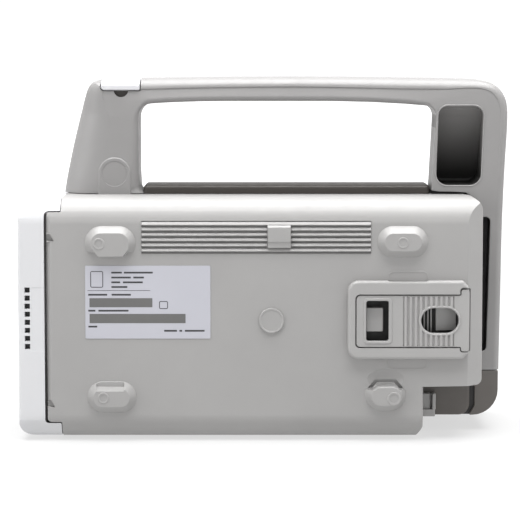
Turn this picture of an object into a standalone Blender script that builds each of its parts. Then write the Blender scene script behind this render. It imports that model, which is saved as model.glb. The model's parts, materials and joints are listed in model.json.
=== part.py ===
"""Compact transport patient monitor with a carrying handle.

The monitor stands on its flat base. +Z is up, the screen faces -Y, the side with
the docking pads and the rack latch faces +X, and the patient sockets face -X.
The origin is the middle of the bounding box on the base plane.
Sizes are in millimetres and are turned into metres by MM.
"""

import math

import bmesh
import bpy
from mathutils import Matrix, Vector

MM = 0.001

# ---------------------------------------------------------------- driving sizes
X_SOCKET_SIDE = -43.0     # outer face of the socket side
X_SPLIT = 13.85           # parting plane of the two housing halves
X_FACE = 39.5             # outer face of the docking side
X_PAD = 43.0              # top of the docking pads and of the latch frame
Y_REAR = 188.2            # rear wall of the housing
Y_SEAM = 11.4             # where the housing starts behind the bezel, on the sides
Y_SEAM_TOP = 17.3         # the same, on the top and the base
Z_TOP = 98.0              # top of the housing
WALL = 2.2
R_TOP, R_BASE = 7.0, 9.0  # long edges of the housing
R_DOCK_TOP = 10.5         # the softer top edge above the docking side
REAR_CHAMFER = 5.5
STEP_Y, STEP_Z = 164.2, 20.0   # the cut-away at the lower rear corner

BEZEL_DEPTH = 17.0
BEZEL_SIDE_DEPTH = 10.5
FRONT_WALL = 2.4

HANDLE_HALF = 12.0        # half the handle's width
Z_HANDLE = 146.0          # top of the handle
Y_HANDLE = 199.8          # rearmost point of the handle

BAT_X0, BAT_X1 = -38.0, 12.0
BAT_Y0, BAT_Y1 = 112.0, 196.6
BAT_Z0, BAT_Z1 = 5.4, 24.2

LATCH_TRAVEL = 5.0
KEY_TRAVEL = 0.8
EJECT_TRAVEL = 3.0
KEY_PROUD = 0.5

Y_MID = (Y_HANDLE - KEY_PROUD) / 2   # moves the design frame to the row frame

# ------------------------------------------------------------------- the scene
for old in list(bpy.data.objects):
    bpy.data.objects.remove(old, do_unlink=True)

parts = bpy.data.collections.new("patient_monitor")
cutters = bpy.data.collections.new("cutters")
bpy.context.scene.collection.children.link(parts)
bpy.context.scene.collection.children.link(cutters)

root = bpy.data.objects.new("monitor_frame", None)
parts.objects.link(root)


def at(x, y, z):
    """A point of the design frame, in millimetres, as a point of the row frame in metres."""
    return Vector((x, y - Y_MID, z)) * MM


def material(name, colour, roughness, metallic=0.0):
    m = bpy.data.materials.new(name)
    m.use_nodes = True
    shader = m.node_tree.nodes["Principled BSDF"]
    shader.inputs["Base Color"].default_value = (*colour, 1.0)
    shader.inputs["Roughness"].default_value = roughness
    shader.inputs["Metallic"].default_value = metallic
    return m


WHITE = material("white_abs", (0.80, 0.80, 0.81), 0.45)
LIGHT = material("light_grey_abs", (0.52, 0.515, 0.505), 0.5)
GREY = material("handle_grey_abs", (0.40, 0.395, 0.395), 0.45)
DARK = material("battery_dark_grey", (0.13, 0.12, 0.115), 0.5)
BLACK = material("black_plastic", (0.02, 0.02, 0.022), 0.5)
SEAL = material("seal_rubber", (0.05, 0.05, 0.05), 0.8)
LENS = material("lamp_lens", (0.88, 0.88, 0.9), 0.25)
GLASS = material("screen_glass", (0.015, 0.017, 0.02), 0.08)
BOARD = material("circuit_board", (0.03, 0.16, 0.07), 0.5)
METAL = material("zinc_steel", (0.62, 0.62, 0.63), 0.35, 1.0)
RED = material("socket_red", (0.55, 0.05, 0.05), 0.4)
BLUE = material("socket_blue", (0.05, 0.14, 0.45), 0.4)
BROWN = material("socket_brown", (0.24, 0.13, 0.07), 0.4)
CREAM = material("socket_white", (0.75, 0.75, 0.72), 0.4)
SILICONE = material("silicone", (0.55, 0.55, 0.56), 0.6)
LABEL = material("label_foil", (0.50, 0.51, 0.55), 0.35)
COPPER = material("flex_polyimide", (0.55, 0.25, 0.06), 0.4)


# ------------------------------------------------------------------ the makers
def finish(name, mesh, mat, cutter=False):
    """Adds a mesh as a part, or as a hidden cutter."""
    obj = bpy.data.objects.new(name, mesh)
    (cutters if cutter else parts).objects.link(obj)
    if cutter:
        obj.hide_render = True
        obj.display_type = "WIRE"
    else:
        obj.parent = root
        mesh.materials.clear()
        mesh.materials.append(mat)
        mesh.shade_smooth()
        mesh.set_sharp_from_angle(angle=math.radians(35))
    return obj


def mesh_from(bm, name):
    bmesh.ops.recalc_face_normals(bm, faces=bm.faces)
    mesh = bpy.data.meshes.new(name)
    bm.to_mesh(mesh)
    bm.free()
    return mesh


def fillet(corners, segments=4):
    """A polygon whose corners (u, v, radius) are rounded."""
    n, out = len(corners), []
    for i, (u, v, radius) in enumerate(corners):
        here = Vector((u, v))
        before = Vector(corners[i - 1][:2]) - here
        after = Vector(corners[(i + 1) % n][:2]) - here
        if radius <= 0:
            out.append(tuple(here))
            continue
        a, b = before.normalized(), after.normalized()
        half = a.angle(b) / 2
        reach = radius / math.tan(half)
        centre = here + (a + b).normalized() * (radius / math.sin(half))
        start, end = here + a * reach - centre, here + b * reach - centre
        turn = start.angle_signed(end)
        for k in range(segments + 1):
            c, s = math.cos(-turn * k / segments), math.sin(-turn * k / segments)
            out.append(
                (
                    centre.x + start.x * c - start.y * s,
                    centre.y + start.x * s + start.y * c,
                )
            )
    return out


def rect(u0, u1, v0, v1, r=0.0, segments=4):
    return fillet([(u0, v0, r), (u1, v0, r), (u1, v1, r), (u0, v1, r)], segments)


# An outline's (u, v) are (Y, Z) on the X axis, (X, Z) on the Y axis and (X, Y) on the Z axis.
TURNS = {
    "X": Matrix(((0, 0, 1), (1, 0, 0), (0, 1, 0))),
    "Y": Matrix(((1, 0, 0), (0, 0, -1), (0, 1, 0))),
    "Z": Matrix(((1, 0, 0), (0, 1, 0), (0, 0, 1))),
}


def prism(name, outline, axis, lo, hi, mat=None, holes=(), rim=0.0, rim_segments=2, cutter=False):
    """A flat outline in millimetres, pulled along an axis from lo to hi, with an optional rounded rim."""
    curve = bpy.data.curves.new(name, "CURVE")
    curve.dimensions = "2D"
    curve.fill_mode = "BOTH"
    curve.extrude = (hi - lo) / 2 * MM
    for loop in (outline, *holes):
        spline = curve.splines.new("POLY")
        spline.points.add(len(loop) - 1)
        for point, (u, v) in zip(spline.points, loop):
            point.co = (u * MM, v * MM, 0, 1)
        spline.use_cyclic_u = True
    drawn = bpy.data.objects.new(name + "_outline", curve)
    parts.objects.link(drawn)
    middle = (lo + hi) / 2
    shift = {"X": (middle, -Y_MID, 0), "Y": (0, middle - Y_MID, 0), "Z": (0, -Y_MID, middle)}[axis]
    drawn.matrix_world = Matrix.Translation(Vector(shift) * MM) @ TURNS[axis].to_4x4()
    bpy.context.view_layer.update()
    mesh = bpy.data.meshes.new_from_object(drawn.evaluated_get(bpy.context.evaluated_depsgraph_get()))
    mesh.transform(drawn.matrix_world)
    bpy.data.objects.remove(drawn, do_unlink=True)
    bpy.data.curves.remove(curve)
    bm = bmesh.new()
    bm.from_mesh(mesh)
    bpy.data.meshes.remove(mesh)
    bmesh.ops.remove_doubles(bm, verts=bm.verts, dist=1e-6)
    bmesh.ops.dissolve_limit(bm, angle_limit=math.radians(0.5), verts=bm.verts, edges=bm.edges)
    if rim > 0:
        edge_angle = math.radians(50)
        rims = [e for e in bm.edges if len(e.link_faces) == 2 and e.calc_face_angle() > edge_angle]
        bmesh.ops.bevel(bm, geom=rims, offset=rim * MM, offset_type="OFFSET", segments=rim_segments, profile=0.5, affect="EDGES", clamp_overlap=True)
    return finish(name, mesh_from(bm, name), mat, cutter)


def box(name, lo, hi, mat=None, edge=0.0, segments=2, along=None, cutter=False):
    """A box between two corners. edge rounds its edges, or only those along one axis."""
    bm = bmesh.new()
    bmesh.ops.create_cube(bm, size=1.0)
    low, high = at(*lo), at(*hi)
    for v in bm.verts:
        v.co = Vector(low[i] + (v.co[i] + 0.5) * (high[i] - low[i]) for i in range(3))
    if edge > 0:
        which = bm.edges[:]
        if along:
            k = "XYZ".index(along)
            which = [e for e in bm.edges if abs((e.verts[0].co - e.verts[1].co)[k]) > 1e-6]
        bmesh.ops.bevel(bm, geom=which, offset=edge * MM, segments=segments, profile=0.5, affect="EDGES", clamp_overlap=True)
    return finish(name, mesh_from(bm, name), mat, cutter)


def rod(name, start, axis, radius, length, mat=None, sides=20, radius_end=None, edge=0.0, cutter=False):
    """A cylinder or cone that starts at a point and runs along +X, +Y or +Z."""
    bm = bmesh.new()
    end = radius if radius_end is None else radius_end
    bmesh.ops.create_cone(bm, cap_ends=True, cap_tris=False, segments=sides, radius1=radius * MM, radius2=end * MM, depth=length * MM)
    if edge > 0:
        rims = [e for e in bm.edges if len(e.link_faces) == 2 and e.calc_face_angle() > math.radians(50)]
        bmesh.ops.bevel(bm, geom=rims, offset=edge * MM, segments=2, profile=0.5, affect="EDGES")
    turn = {"X": Matrix.Rotation(math.pi / 2, 4, "Y"), "Y": Matrix.Rotation(-math.pi / 2, 4, "X"), "Z": Matrix.Identity(4)}[axis]
    half = {"X": Vector((length / 2, 0, 0)), "Y": Vector((0, length / 2, 0)), "Z": Vector((0, 0, length / 2))}[axis]
    bm.transform(Matrix.Translation(at(*start) + half * MM) @ turn)
    return finish(name, mesh_from(bm, name), mat, cutter)


def boolean(obj, other, operation):
    m = obj.modifiers.new(operation.lower(), "BOOLEAN")
    m.operation = operation
    m.object = other
    m.solver = "EXACT"
    return obj


def cut(obj, *others):
    for other in others:
        boolean(obj, other, "DIFFERENCE")
    return obj


def keep(obj, *others):
    for other in others:
        boolean(obj, other, "INTERSECT")
    return obj


def add(obj, *others):
    for other in others:
        boolean(obj, other, "UNION")
    return obj


def origin_to(obj, x, y, z):
    """Puts a moving piece's origin on its joint."""
    point = at(x, y, z)
    obj.data.transform(Matrix.Translation(-point))
    obj.location = point
    return obj


serial = {"n": 0}


def hidden(kind):
    serial["n"] += 1
    return f"cutter_{kind}_{serial['n']:03d}"


def cbox(lo, hi, edge=0.0, segments=2, along=None):
    return box(hidden("box"), lo, hi, edge=edge, segments=segments, along=along, cutter=True)


def crod(start, axis, radius, length, sides=20, radius_end=None):
    return rod(hidden("rod"), start, axis, radius, length, sides=sides, radius_end=radius_end, cutter=True)


def cprism(outline, axis, lo, hi, holes=(), rim=0.0, rim_segments=2):
    return prism(hidden("prism"), outline, axis, lo, hi, holes=holes, rim=rim, rim_segments=rim_segments, cutter=True)


def stadium(y0, y1, z0, z1, segments=6):
    return rect(y0, y1, z0, z1, (z1 - z0) / 2 - 0.01, segments)


# ---------------------------------------------------------------- housing halves
def section(inset):
    """The housing's section across its length, (X, Z)."""
    x0, x1, z0, z1 = X_SOCKET_SIDE + inset, X_FACE - inset, inset, Z_TOP - inset
    top, base = R_TOP - inset, R_BASE - inset
    return fillet([(x0, z0, base), (x1, z0, base), (x1, z1, R_DOCK_TOP - inset), (x0, z1, top)], 4)


def profile(y_front, inset):
    """The housing's outline from the side, (Y, Z), with chamfered rear corners."""
    y1, z0, z1, c = Y_REAR - inset, inset, Z_TOP - inset, REAR_CHAMFER - inset * 0.4
    return [(y_front, z0), (y1 - c, z0), (y1, z0 + c), (y1, z1 - c), (y1 - c, z1), (y_front, z1)]


def plan(y_front, inset):
    """The housing's outline from above, (X, Y), with chamfered rear corners."""
    x0, x1, y1, c = X_SOCKET_SIDE + inset, X_FACE - inset, Y_REAR - inset, REAR_CHAMFER - inset * 0.4
    return [(x0, y_front), (x1, y_front), (x1, y1 - c), (x1 - c, y1), (x0 + c, y1), (x0, y1 - c)]


def housing(name, x0, x1, mat):
    """Half of the housing between two planes, still solid."""
    solid = prism(name, section(0.0), "Y", Y_SEAM, Y_REAR + 1, mat)
    keep(solid, cprism(profile(Y_SEAM - 1, 0.0), "X", -60, 60), cprism(plan(Y_SEAM - 1, 0.0), "Z", -20, 120))
    keep(solid, cbox((x0, -20, -20), (x1, 260, 160)))
    cut(solid, cbox((-60, 0, 92.0), (60, Y_SEAM_TOP, 120)), cbox((-60, 0, -20), (60, Y_SEAM_TOP, 6.8)))
    return solid


def cavity(x0, x1):
    """The space inside a housing half, open at the front."""
    space = prism(hidden("cavity"), section(WALL), "Y", 0, Y_REAR + 1, cutter=True)
    keep(space, cprism(profile(-5, WALL), "X", -60, 60), cprism(plan(-5, WALL), "Z", -20, 120))
    keep(space, cbox((x0, -20, -20), (x1, 260, 160)))
    return space


side = housing("docking_side_housing", X_SPLIT + 0.15, 60, LIGHT)
side_space = cavity(X_SPLIT - 5, 60)
cut(side_space, cbox((-60, STEP_Y - WALL, -20), (60, 260, STEP_Z + WALL)))
cut(side, side_space, cbox((-60, STEP_Y, -20), (60, 260, STEP_Z)))
# opening for the rack latch's tray
cut(side, cprism(rect(134.9, 181.1, 35.0, 62.8, 2.0), "X", 30, 45))
# opening for the docking connector in the rear wall
cut(side, cbox((17.6, 180, 47.6), (31.4, 195, 72.4)))
# docking pads, three long and one short
PADS = ((27.2, 47.5, 74.2, 86.8), (145.4, 165.8, 74.2, 86.8), (27.8, 47.6, 10.9, 23.5), (140.6, 157.0, 11.4, 23.2))
for y0, y1, z0, z1 in PADS:
    add(side, cprism(stadium(y0, y1, z0, z1, 4), "X", X_FACE - 1.0, X_PAD, rim=1.6, rim_segments=2))
# guide ribs with the keying block
RIB_PITCH = 2.13
for k in range(6):
    z = 77.2 + k * RIB_PITCH
    add(side, cbox((X_FACE - 0.6, 50.0, z - 0.5), (X_FACE + 0.9, 142.6, z + 0.5)))
add(side, cbox((X_FACE - 0.7, 100.8, 75.9), (X_FACE + 1.6, 110.4, 87.6)))
# gate mark: a low round boss
add(side, crod((X_FACE - 0.5, 102.5, 48.4), "X", 5.1, 1.1, sides=24))
# screw towers, the lower rear one on a web behind the latch
SCREWS = ((22.0, 12.0), (40.0, 88.0), (176.0, 33.2), (172.0, 88.0))
add(side, cbox((20.0, 174.6, STEP_Z + 1.0), (32.4, 177.4, 33.0)))
for y, z in SCREWS:
    end = 32.4 if 30.5 < z < 65.0 and y > 130.0 else X_FACE - WALL + 0.6
    add(side, crod((20.0, y, z), "X", 4.2, end - 20.0, sides=12))
    cut(side, crod((19.0, y, z), "X", 1.7, 12.0, sides=10))

far = housing("socket_side_housing", -60, X_SPLIT - 0.15, LIGHT)
far_space = cavity(-60, X_SPLIT + 5)
cut(far, far_space)
# the battery's bay opens to the base and the rear
cut(far, cbox((BAT_X0 - 0.7, 160.0, -20), (60, 260, BAT_Z1 + 0.5)), cbox((-60, STEP_Y, -20), (60, 260, 5.0)))
# window for the socket panel
cut(far, cprism(rect(25.5, 150.5, 27.5, 82.5, 5.0), "X", -50, -38))
# ventilation slots in the rear wall
for k in range(5):
    cut(far, cbox((-37.0, 180, 44.0 + 8.0 * k), (-17.0, 195, 46.2 + 8.0 * k)))
for y, z in SCREWS:
    add(far, crod((X_SOCKET_SIDE + WALL - 0.8, y, z), "X", 5.4, 40.0, sides=16))
    cut(far, crod((X_SOCKET_SIDE - 2, y, z), "X", 3.5, 37.0, sides=16), crod((X_SOCKET_SIDE, y, z), "X", 1.9, 50.0, sides=10))
# holes for the handle's two screws, one in the top wall and one in the rear wall
cut(far, crod((0.0, 33.0, 90.0), "Z", 1.9, 12.0, sides=10), crod((-2.0, 180.0, 60.0), "Y", 1.9, 12.0, sides=10))

# --------------------------------------------------------------------- the bezel
bezel = prism("front_bezel", section(0.0), "Y", 0, BEZEL_DEPTH, WHITE)
keep(
    bezel,
    cprism(fillet([(0, 0.6, 6), (BEZEL_DEPTH + 2, 0.6, 0), (BEZEL_DEPTH + 2, 97.6, 0), (0, 97.6, 6.5)], 4), "X", -60, 60),
    cprism(fillet([(X_SOCKET_SIDE, 0, 3), (X_FACE, 0, 3), (X_FACE, 30, 0), (X_SOCKET_SIDE, 30, 0)], 3), "Z", -20, 120),
)
cut(bezel, cprism(fillet([(X_SOCKET_SIDE + WALL, 2.8, 6), (X_FACE - WALL, 2.8, 6), (X_FACE - WALL, 95.4, 5), (X_SOCKET_SIDE + WALL, 95.4, 5)], 4), "Y", FRONT_WALL, 30))
cut(bezel, cbox((-60, BEZEL_SIDE_DEPTH, 6.5), (60, 30, 92.3)))
SCREEN = (-37.3, 33.8, 36.5, 89.8)
cut(bezel, cprism(rect(*SCREEN, 1.0, 2), "Y", -5, 10))
KEY_X = (-27.7, -10.4, 6.9, 24.2)
KEY_Z = 14.6
KEY_NAMES = ("key_standby", "key_silence", "key_alarm_pause", "key_main_screen")
for x in KEY_X:
    cut(bezel, cprism(rect(x - 6.8, x + 6.8, KEY_Z - 4.8, KEY_Z + 4.8, 2.0, 3), "Y", -5, 10))
LED_X = (-31.0, -24.0, -17.0)
for x in LED_X:
    cut(bezel, cbox((x - 1.8, -5, 26.9), (x + 1.8, 10, 29.1)))
for k in range(8):
    z = 37.8 + 3.29 * k
    cut(bezel, cbox((30, 2.5, z - 1.05), (60, 4.6, z + 1.05)))

box("bezel_seal_docking_side", (37.5, 10.75, 7.0), (38.9, 11.15, 91.8), SEAL)
box("bezel_seal_socket_side", (-42.4, 10.75, 7.0), (-41.0, 11.15, 91.8), SEAL)

# ---------------------------------------------------------- screen and front keys
prism("touch_glass", rect(-39.2, 35.7, 33.0, 92.0, 1.5, 2), "Y", 2.7, 3.9, GLASS)
prism("display_panel", rect(-38.6, 35.1, 34.0, 91.6, 0.8, 2), "Y", 4.2, 9.0, BLACK)
display_frame = prism("display_frame", rect(-39.8, 35.3, 31.0, 93.4, 1.0, 2), "Y", 9.3, 12.6, METAL, holes=(rect(-33.0, 29.5, 38.0, 87.0, 1.0, 2),))
front_board = prism("front_board", rect(-36.0, 32.0, 9.0, 90.0, 1.5, 2), "Y", 13.6, 15.2, BOARD)
key_mat = box("key_mat", (-37.5, 5.9, 8.0), (34.0, 7.1, 24.5), SILICONE)
light_pipe = box("status_light_pipe", (-34.0, 3.0, 26.4), (-14.0, 6.0, 29.6), LENS)
for x in LED_X:
    add(light_pipe, cbox((x - 1.5, 0.3, 27.2), (x + 1.5, 4.0, 28.8)))
for name, x in zip(KEY_NAMES, KEY_X):
    key = prism(name, rect(x - 6.4, x + 6.4, KEY_Z - 4.4, KEY_Z + 4.4, 1.8, 3), "Y", -KEY_PROUD, 4.4, WHITE, rim=0.5, rim_segments=1)
    add(key, cprism(rect(x - 7.6, x + 7.6, KEY_Z - 5.6, KEY_Z + 5.6, 2.2, 3), "Y", 2.9, 4.1))
    origin_to(key, x, 0.0, KEY_Z)
speaker = rod("loudspeaker", (28.0, 30.0, 48.0), "X", 13.0, 6.5, BLACK, sides=24, edge=0.8)
add(speaker, crod((26.5, 30.0, 48.0), "X", 7.0, 3.0, sides=16))

# -------------------------------------------------------------------- the handle
def crown(y, top):
    """The handle's top and grip are slightly arched."""
    return top - 2.2 * ((y - 112.0) / 82.0) ** 2


outer = [(16.7, Z_TOP + 0.35, 0.8), (27.5, crown(27.5, Z_HANDLE), 4.5)]
outer += [(y, crown(y, Z_HANDLE), 0) for y in (50.0, 70.0, 90.0, 112.0, 134.0, 154.0, 172.0)]
outer += [
    (Y_HANDLE + 0.1, crown(Y_HANDLE, Z_HANDLE), 10.5),
    (BAT_Y1, 24.8, 0.6),
    (188.7, 24.8, 0.6),
    (188.7, 92.9, 2.0),
    (183.1, Z_TOP + 0.35, 2.0),
]
grip = [(49.2, 103.2, 2.0), (168.0, 103.2, 2.5), (168.9, 137.2, 6.0)]
grip += [(y, crown(y, 138.4), 0) for y in (150.0, 130.0, 112.0, 90.0, 70.0)]
grip += [(48.8, 136.9, 5.0)]
handle = prism("handle", fillet(outer, 5), "X", -HANDLE_HALF, HANDLE_HALF, GREY, holes=(fillet(grip, 4),), rim=2.6, rim_segments=3)
POCKET = (171.6, 191.0, 102.4, 135.6)
cut(handle, cprism(rect(*POCKET, 4.0, 4), "X", -8.0, 30))
# side slot beside the housing's rear wall
cut(handle, cprism(rect(180.0, 193.8, 33.2, 88.6, 2.6, 3), "X", 2.0, 30))
# seat of the alarm lamp lens, and the pry notch under it
LENS_Y = (31.4, 48.8)
cut(
    handle,
    cbox((-30, LENS_Y[0] - 0.3, 141.2), (-9.7, LENS_Y[1] + 0.3, 160)),
    cbox((9.7, LENS_Y[0] - 0.3, 141.2), (30, LENS_Y[1] + 0.3, 160)),
    cbox((-30, LENS_Y[0] - 0.3, 142.9), (30, LENS_Y[1] + 0.3, 160)),
    crod((10.6, 38.6, 141.4), "X", 2.5, 5.0, sides=16),
)
cut(handle, crod((0.0, 33.0, 90.0), "Z", 1.8, 17.5, sides=10), crod((-2.0, 180.0, 60.0), "Y", 1.8, 15.9, sides=10))
# channel for the alarm lamps' board under the lens
cut(handle, cbox((-6.5, LENS_Y[0] + 1.0, 139.2), (6.5, LENS_Y[1] - 1.0, 150)))

lens = prism(
    "alarm_lamp_lens",
    fillet([(LENS_Y[0], 130, 0), (LENS_Y[1], 130, 0), (LENS_Y[1], crown(LENS_Y[1], Z_HANDLE), 0), (LENS_Y[0], crown(LENS_Y[0], Z_HANDLE), 0)], 3),
    "X", -HANDLE_HALF, HANDLE_HALF, LENS,
)
keep(lens, cprism(fillet([(-HANDLE_HALF, 141.5, 0), (HANDLE_HALF, 141.5, 0), (HANDLE_HALF, crown(LENS_Y[1], Z_HANDLE), 2.4), (-HANDLE_HALF, crown(LENS_Y[1], Z_HANDLE), 2.4)], 3), "Y", 20, 60))
cut(lens, cbox((-10.0, 20, 130), (10.0, 60, 143.2)))
box("alarm_lamp_board", (-5.8, 33.5, 139.5), (5.8, 46.6, 140.7), BOARD)

cut(handle, cbox((-30, 49.2, 90), (30, 168.0, 104)))
prism("handle_base_strip", rect(-11.8, 11.8, Z_TOP + 0.25, 102.9, 1.6, 3), "Y", 49.5, 167.7, SEAL)

# -------------------------------------------------------------- docking-side latch
LY0, LY1 = 133.4, 182.0
tray = prism("latch_frame", rect(LY0, LY1, 33.0, 64.8, 4.2, 4), "X", X_FACE + 0.3, X_PAD, LIGHT, rim=0.9, rim_segments=2)
add(tray, cprism(rect(135.3, 180.7, 35.4, 62.4, 1.8, 3), "X", 33.0, X_FACE + 1.0))
cut(
    tray,
    cbox((X_FACE + 0.35, 136.5, 37.7), (60, 200, 59.2)),          # slider's upper way
    cbox((X_FACE + 0.35, 136.5, 36.7), (41.5, 200, 60.2)),        # undercut of the rails
    cbox((X_FACE + 0.35, 178.9, 35.7), (60, 200, 61.5)),          # seat of the cross head
    cprism(rect(137.5, 178.5, 38.7, 59.1, 1.5, 3), "X", 34.6, 60),  # the well under the slider
)
# the fixed catch tongue in the window, and the block under the finger hole
add(tray, cbox((33.8, 139.0, 43.7), (38.6, 147.6, 53.6)), cbox((33.8, 169.6, 44.5), (37.2, 176.4, 52.7)))

slider = prism("latch_slider", rect(136.9, 182.9, 38.0, 58.9, 1.4, 3), "X", X_FACE + 0.7, 42.6, LIGHT)
add(
    slider,
    cbox((X_FACE + 0.7, 136.9, 37.0), (41.2, 178.4, 59.9)),
    cprism(rect(179.2, 182.9, 36.0, 61.2, 1.0, 3), "X", X_FACE + 0.7, 42.6),
    cbox((37.4, 152.0, 39.3), (X_FACE + 1.2, 154.6, 43.7)),
)
for k in range(10):
    y = 156.4 + RIB_PITCH * k
    for z0, z1 in ((38.5, 42.1), (54.7, 58.4)) if y > 161.5 else ((38.5, 58.4),):
        add(slider, cbox((42.2, y - 0.5, z0), (X_PAD, y + 0.5, z1)))
cut(slider, cprism(rect(140.8, 149.9, 40.4, 56.8, 1.2, 3), "X", 30, 60), cprism(stadium(163.1, 178.6, 43.3, 53.5, 6), "X", 30, 60))
origin_to(slider, X_FACE + 1.5, 158.0, 48.4)


def coil(name, start, end, radius, wire, turns, mat):
    """A compression spring along +Y, drawn as a wire along a helix."""
    curve = bpy.data.curves.new(name, "CURVE")
    curve.dimensions = "3D"
    curve.bevel_depth = wire * MM
    curve.bevel_resolution = 1
    curve.use_fill_caps = True
    per_turn = 10
    spline = curve.splines.new("POLY")
    count = turns * per_turn
    spline.points.add(count)
    for i in range(count + 1):
        angle = 2 * math.pi * i / per_turn
        y = start[1] + (end[1] - start[1]) * i / count
        spline.points[i].co = (*at(start[0] + radius * math.cos(angle), y, start[2] + radius * math.sin(angle)), 1)
    obj = bpy.data.objects.new(name, curve)
    parts.objects.link(obj)
    obj.parent = root
    curve.materials.append(mat)
    return obj


coil("latch_spring", (36.6, 155.4, 41.3), (36.6, 177.9, 41.3), 1.3, 0.22, 7, METAL)

# ------------------------------------------------------------------- the battery
battery = box("battery_pack", (BAT_X0, BAT_Y0, BAT_Z0), (BAT_X1, 185.0, BAT_Z1), DARK, edge=2.4, segments=2)
add(
    battery,
    cbox((BAT_X0 + 2.5, 180.0, BAT_Z0 + 2.5), (BAT_X1 - 2.5, 190.0, BAT_Z1 - 2.5)),
    cprism(fillet([(187.7, BAT_Z0, 1.0), (BAT_Y1 + 0.3, BAT_Z0, 8.4), (BAT_Y1, BAT_Z1, 0.8), (187.7, BAT_Z1, 0.8)], 5), "X", BAT_X0, BAT_X1, rim=1.0, rim_segments=2),
)
origin_to(battery, -13.0, 185.0, 14.8)

bay = prism("battery_bay", fillet([(BAT_X0 - 2.4, 2.6, 7.0), (13.4, 2.6, 0), (13.4, 26.6, 0), (BAT_X0 - 2.4, 26.6, 0)], 4), "Y", 106.0, 180.6, BLACK)
cut(bay, cprism(fillet([(BAT_X0 - 0.4, BAT_Z0 - 0.4, 2.2), (60, BAT_Z0 - 0.4, 0), (60, BAT_Z1 + 0.4, 0), (BAT_X0 - 0.4, BAT_Z1 + 0.4, 0)], 3), "Y", 108.0, 260), cbox((-60, 160.0, -20), (60, 260, BAT_Z1 + 0.4)))
add(bay, cbox((12.6, 132.6, 2.8), (15.8, 135.2, 13.6)))
box("battery_contacts", (-30.0, 108.3, 9.0), (-10.0, 111.7, 19.0), BLACK, edge=0.5, segments=1)

eject = box("battery_eject_button", (12.5, 168.0, 6.4), (17.6, 171.6, 15.6), CREAM, edge=0.4, segments=1)
add(eject, cbox((12.4, 146.0, 7.4), (13.5, 170.8, 14.6)))
add(eject, cbox((12.6, 146.0, 8.0), (15.6, 148.0, 14.0)))
origin_to(eject, 15.0, 169.8, 11.0)
coil("eject_spring", (14.1, 135.8, 11.0), (14.1, 145.4, 11.0), 1.1, 0.18, 5, METAL)

# ------------------------------------------------------------------ socket side
panel = prism("socket_panel", rect(26.0, 150.0, 28.0, 82.0, 4.6, 4), "X", -42.4, -39.6, GREY)


def socket(name, y, z, radius, bore, depth, mat, key=None):
    """A round plug socket: a cup that opens to -X, in a hole of the panel."""
    cut(panel, crod((-60, y, z), "X", radius + 0.3, 30.0, sides=24))
    cup = rod(name, (X_SOCKET_SIDE + 0.2, y, z), "X", radius, depth + 2.0, mat, sides=24)
    cut(cup, crod((X_SOCKET_SIDE - 2, y, z), "X", bore, depth + 2.2 - 0.2, sides=20))
    add(cup, cprism(rect(y - radius - 1.4, y + radius + 1.4, z - radius - 1.4, z + radius + 1.4, radius, 4), "X", -39.3, -37.6, holes=(rect(y - bore - 0.4, y + bore + 0.4, z - bore - 0.4, z + bore + 0.4, bore, 6),)))
    return cup


socket("ecg_socket", 132.0, 52.0, 11.0, 8.6, 11.0, CREAM)
socket("pressure_socket", 46.0, 65.0, 9.0, 7.0, 11.0, RED)
socket("temperature_socket", 46.0, 40.0, 6.2, 4.4, 9.0, BROWN)

cut(panel, cprism(rect(92.7, 115.3, 44.2, 59.8, 3.3, 4), "X", -60, -30))
spo2 = prism("spo2_socket", rect(93.0, 115.0, 44.5, 59.5, 3.0, 4), "X", X_SOCKET_SIDE + 0.2, -29.0, BLUE)
add(spo2, cprism(rect(91.0, 117.0, 42.5, 61.5, 3.0, 4), "X", -39.3, -37.6))
cut(spo2, cprism(rect(95.2, 112.8, 46.6, 57.4, 2.0, 3), "X", -60, -31.0))

# the cuff fitting: a turned bayonet collar with an air bore
cut(panel, crod((-60, 74.0, 52.0), "X", 8.8, 30.0, sides=24))
nbp = rod("cuff_air_fitting", (X_SOCKET_SIDE + 0.2, 74.0, 52.0), "X", 8.5, 12.0, RED, sides=24)
add(
    nbp,
    crod((-39.3, 74.0, 52.0), "X", 9.9, 1.7, sides=24),
    crod((-32.0, 74.0, 52.0), "X", 2.6, 6.0, sides=12),
)
cut(nbp, crod((-60, 74.0, 52.0), "X", 5.6, 24.0, sides=20), crod((-40.0, 74.0, 52.0), "X", 1.3, 30.0, sides=10))

# ------------------------------------------------------------ rear link connector
link = box("docking_connector", (17.9, 178.0, 47.9), (31.1, 188.6, 72.1), BLACK)
add(link, cbox((16.5, 182.0, 46.0), (32.5, 185.6, 74.0)))
cut(link, cbox((19.4, 180.0, 49.8), (29.6, 195.0, 70.2)))
add(link, cbox((23.9, 178.5, 52.0), (25.1, 187.2, 68.0)))

# ------------------------------------------------------------- what it holds inside
main = prism("main_board", rect(34.0, 176.0, 26.5, 93.5, 2.0, 2), "X", 17.6, 19.2, BOARD)
for y, z in SCREWS:
    cut(main, crod((10.0, y, z), "X", 4.4, 20.0, sides=12))
shield = prism("shield_plate", rect(50.0, 166.0, 30.0, 90.0, 2.0, 2), "X", 22.6, 23.2, METAL)
chassis = prism("chassis_frame", rect(20.0, 180.0, 27.4, 94.8, 2.0, 2), "X", 3.6, 6.0, METAL, holes=(rect(50.0, 92.0, 40.0, 78.0, 3.0, 2), rect(102.0, 160.0, 40.0, 78.0, 3.0, 2)))
cut(
    chassis,
    cbox((0, 10, 81.6), (10, 46.4, 99)),
    cbox((0, 169.6, 20), (10, 190, 39.6)),
    cbox((0, 165.6, 81.6), (10, 190, 99)),
)
measure = prism("measurement_board", rect(86.0, 180.0, 28.5, 92.0, 1.5, 2), "X", -26.4, -24.8, BOARD)
cut(measure, cbox((-30, 169.6, 20), (-20, 190, 39.6)), cbox((-30, 165.6, 81.6), (-20, 190, 99)))
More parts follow.
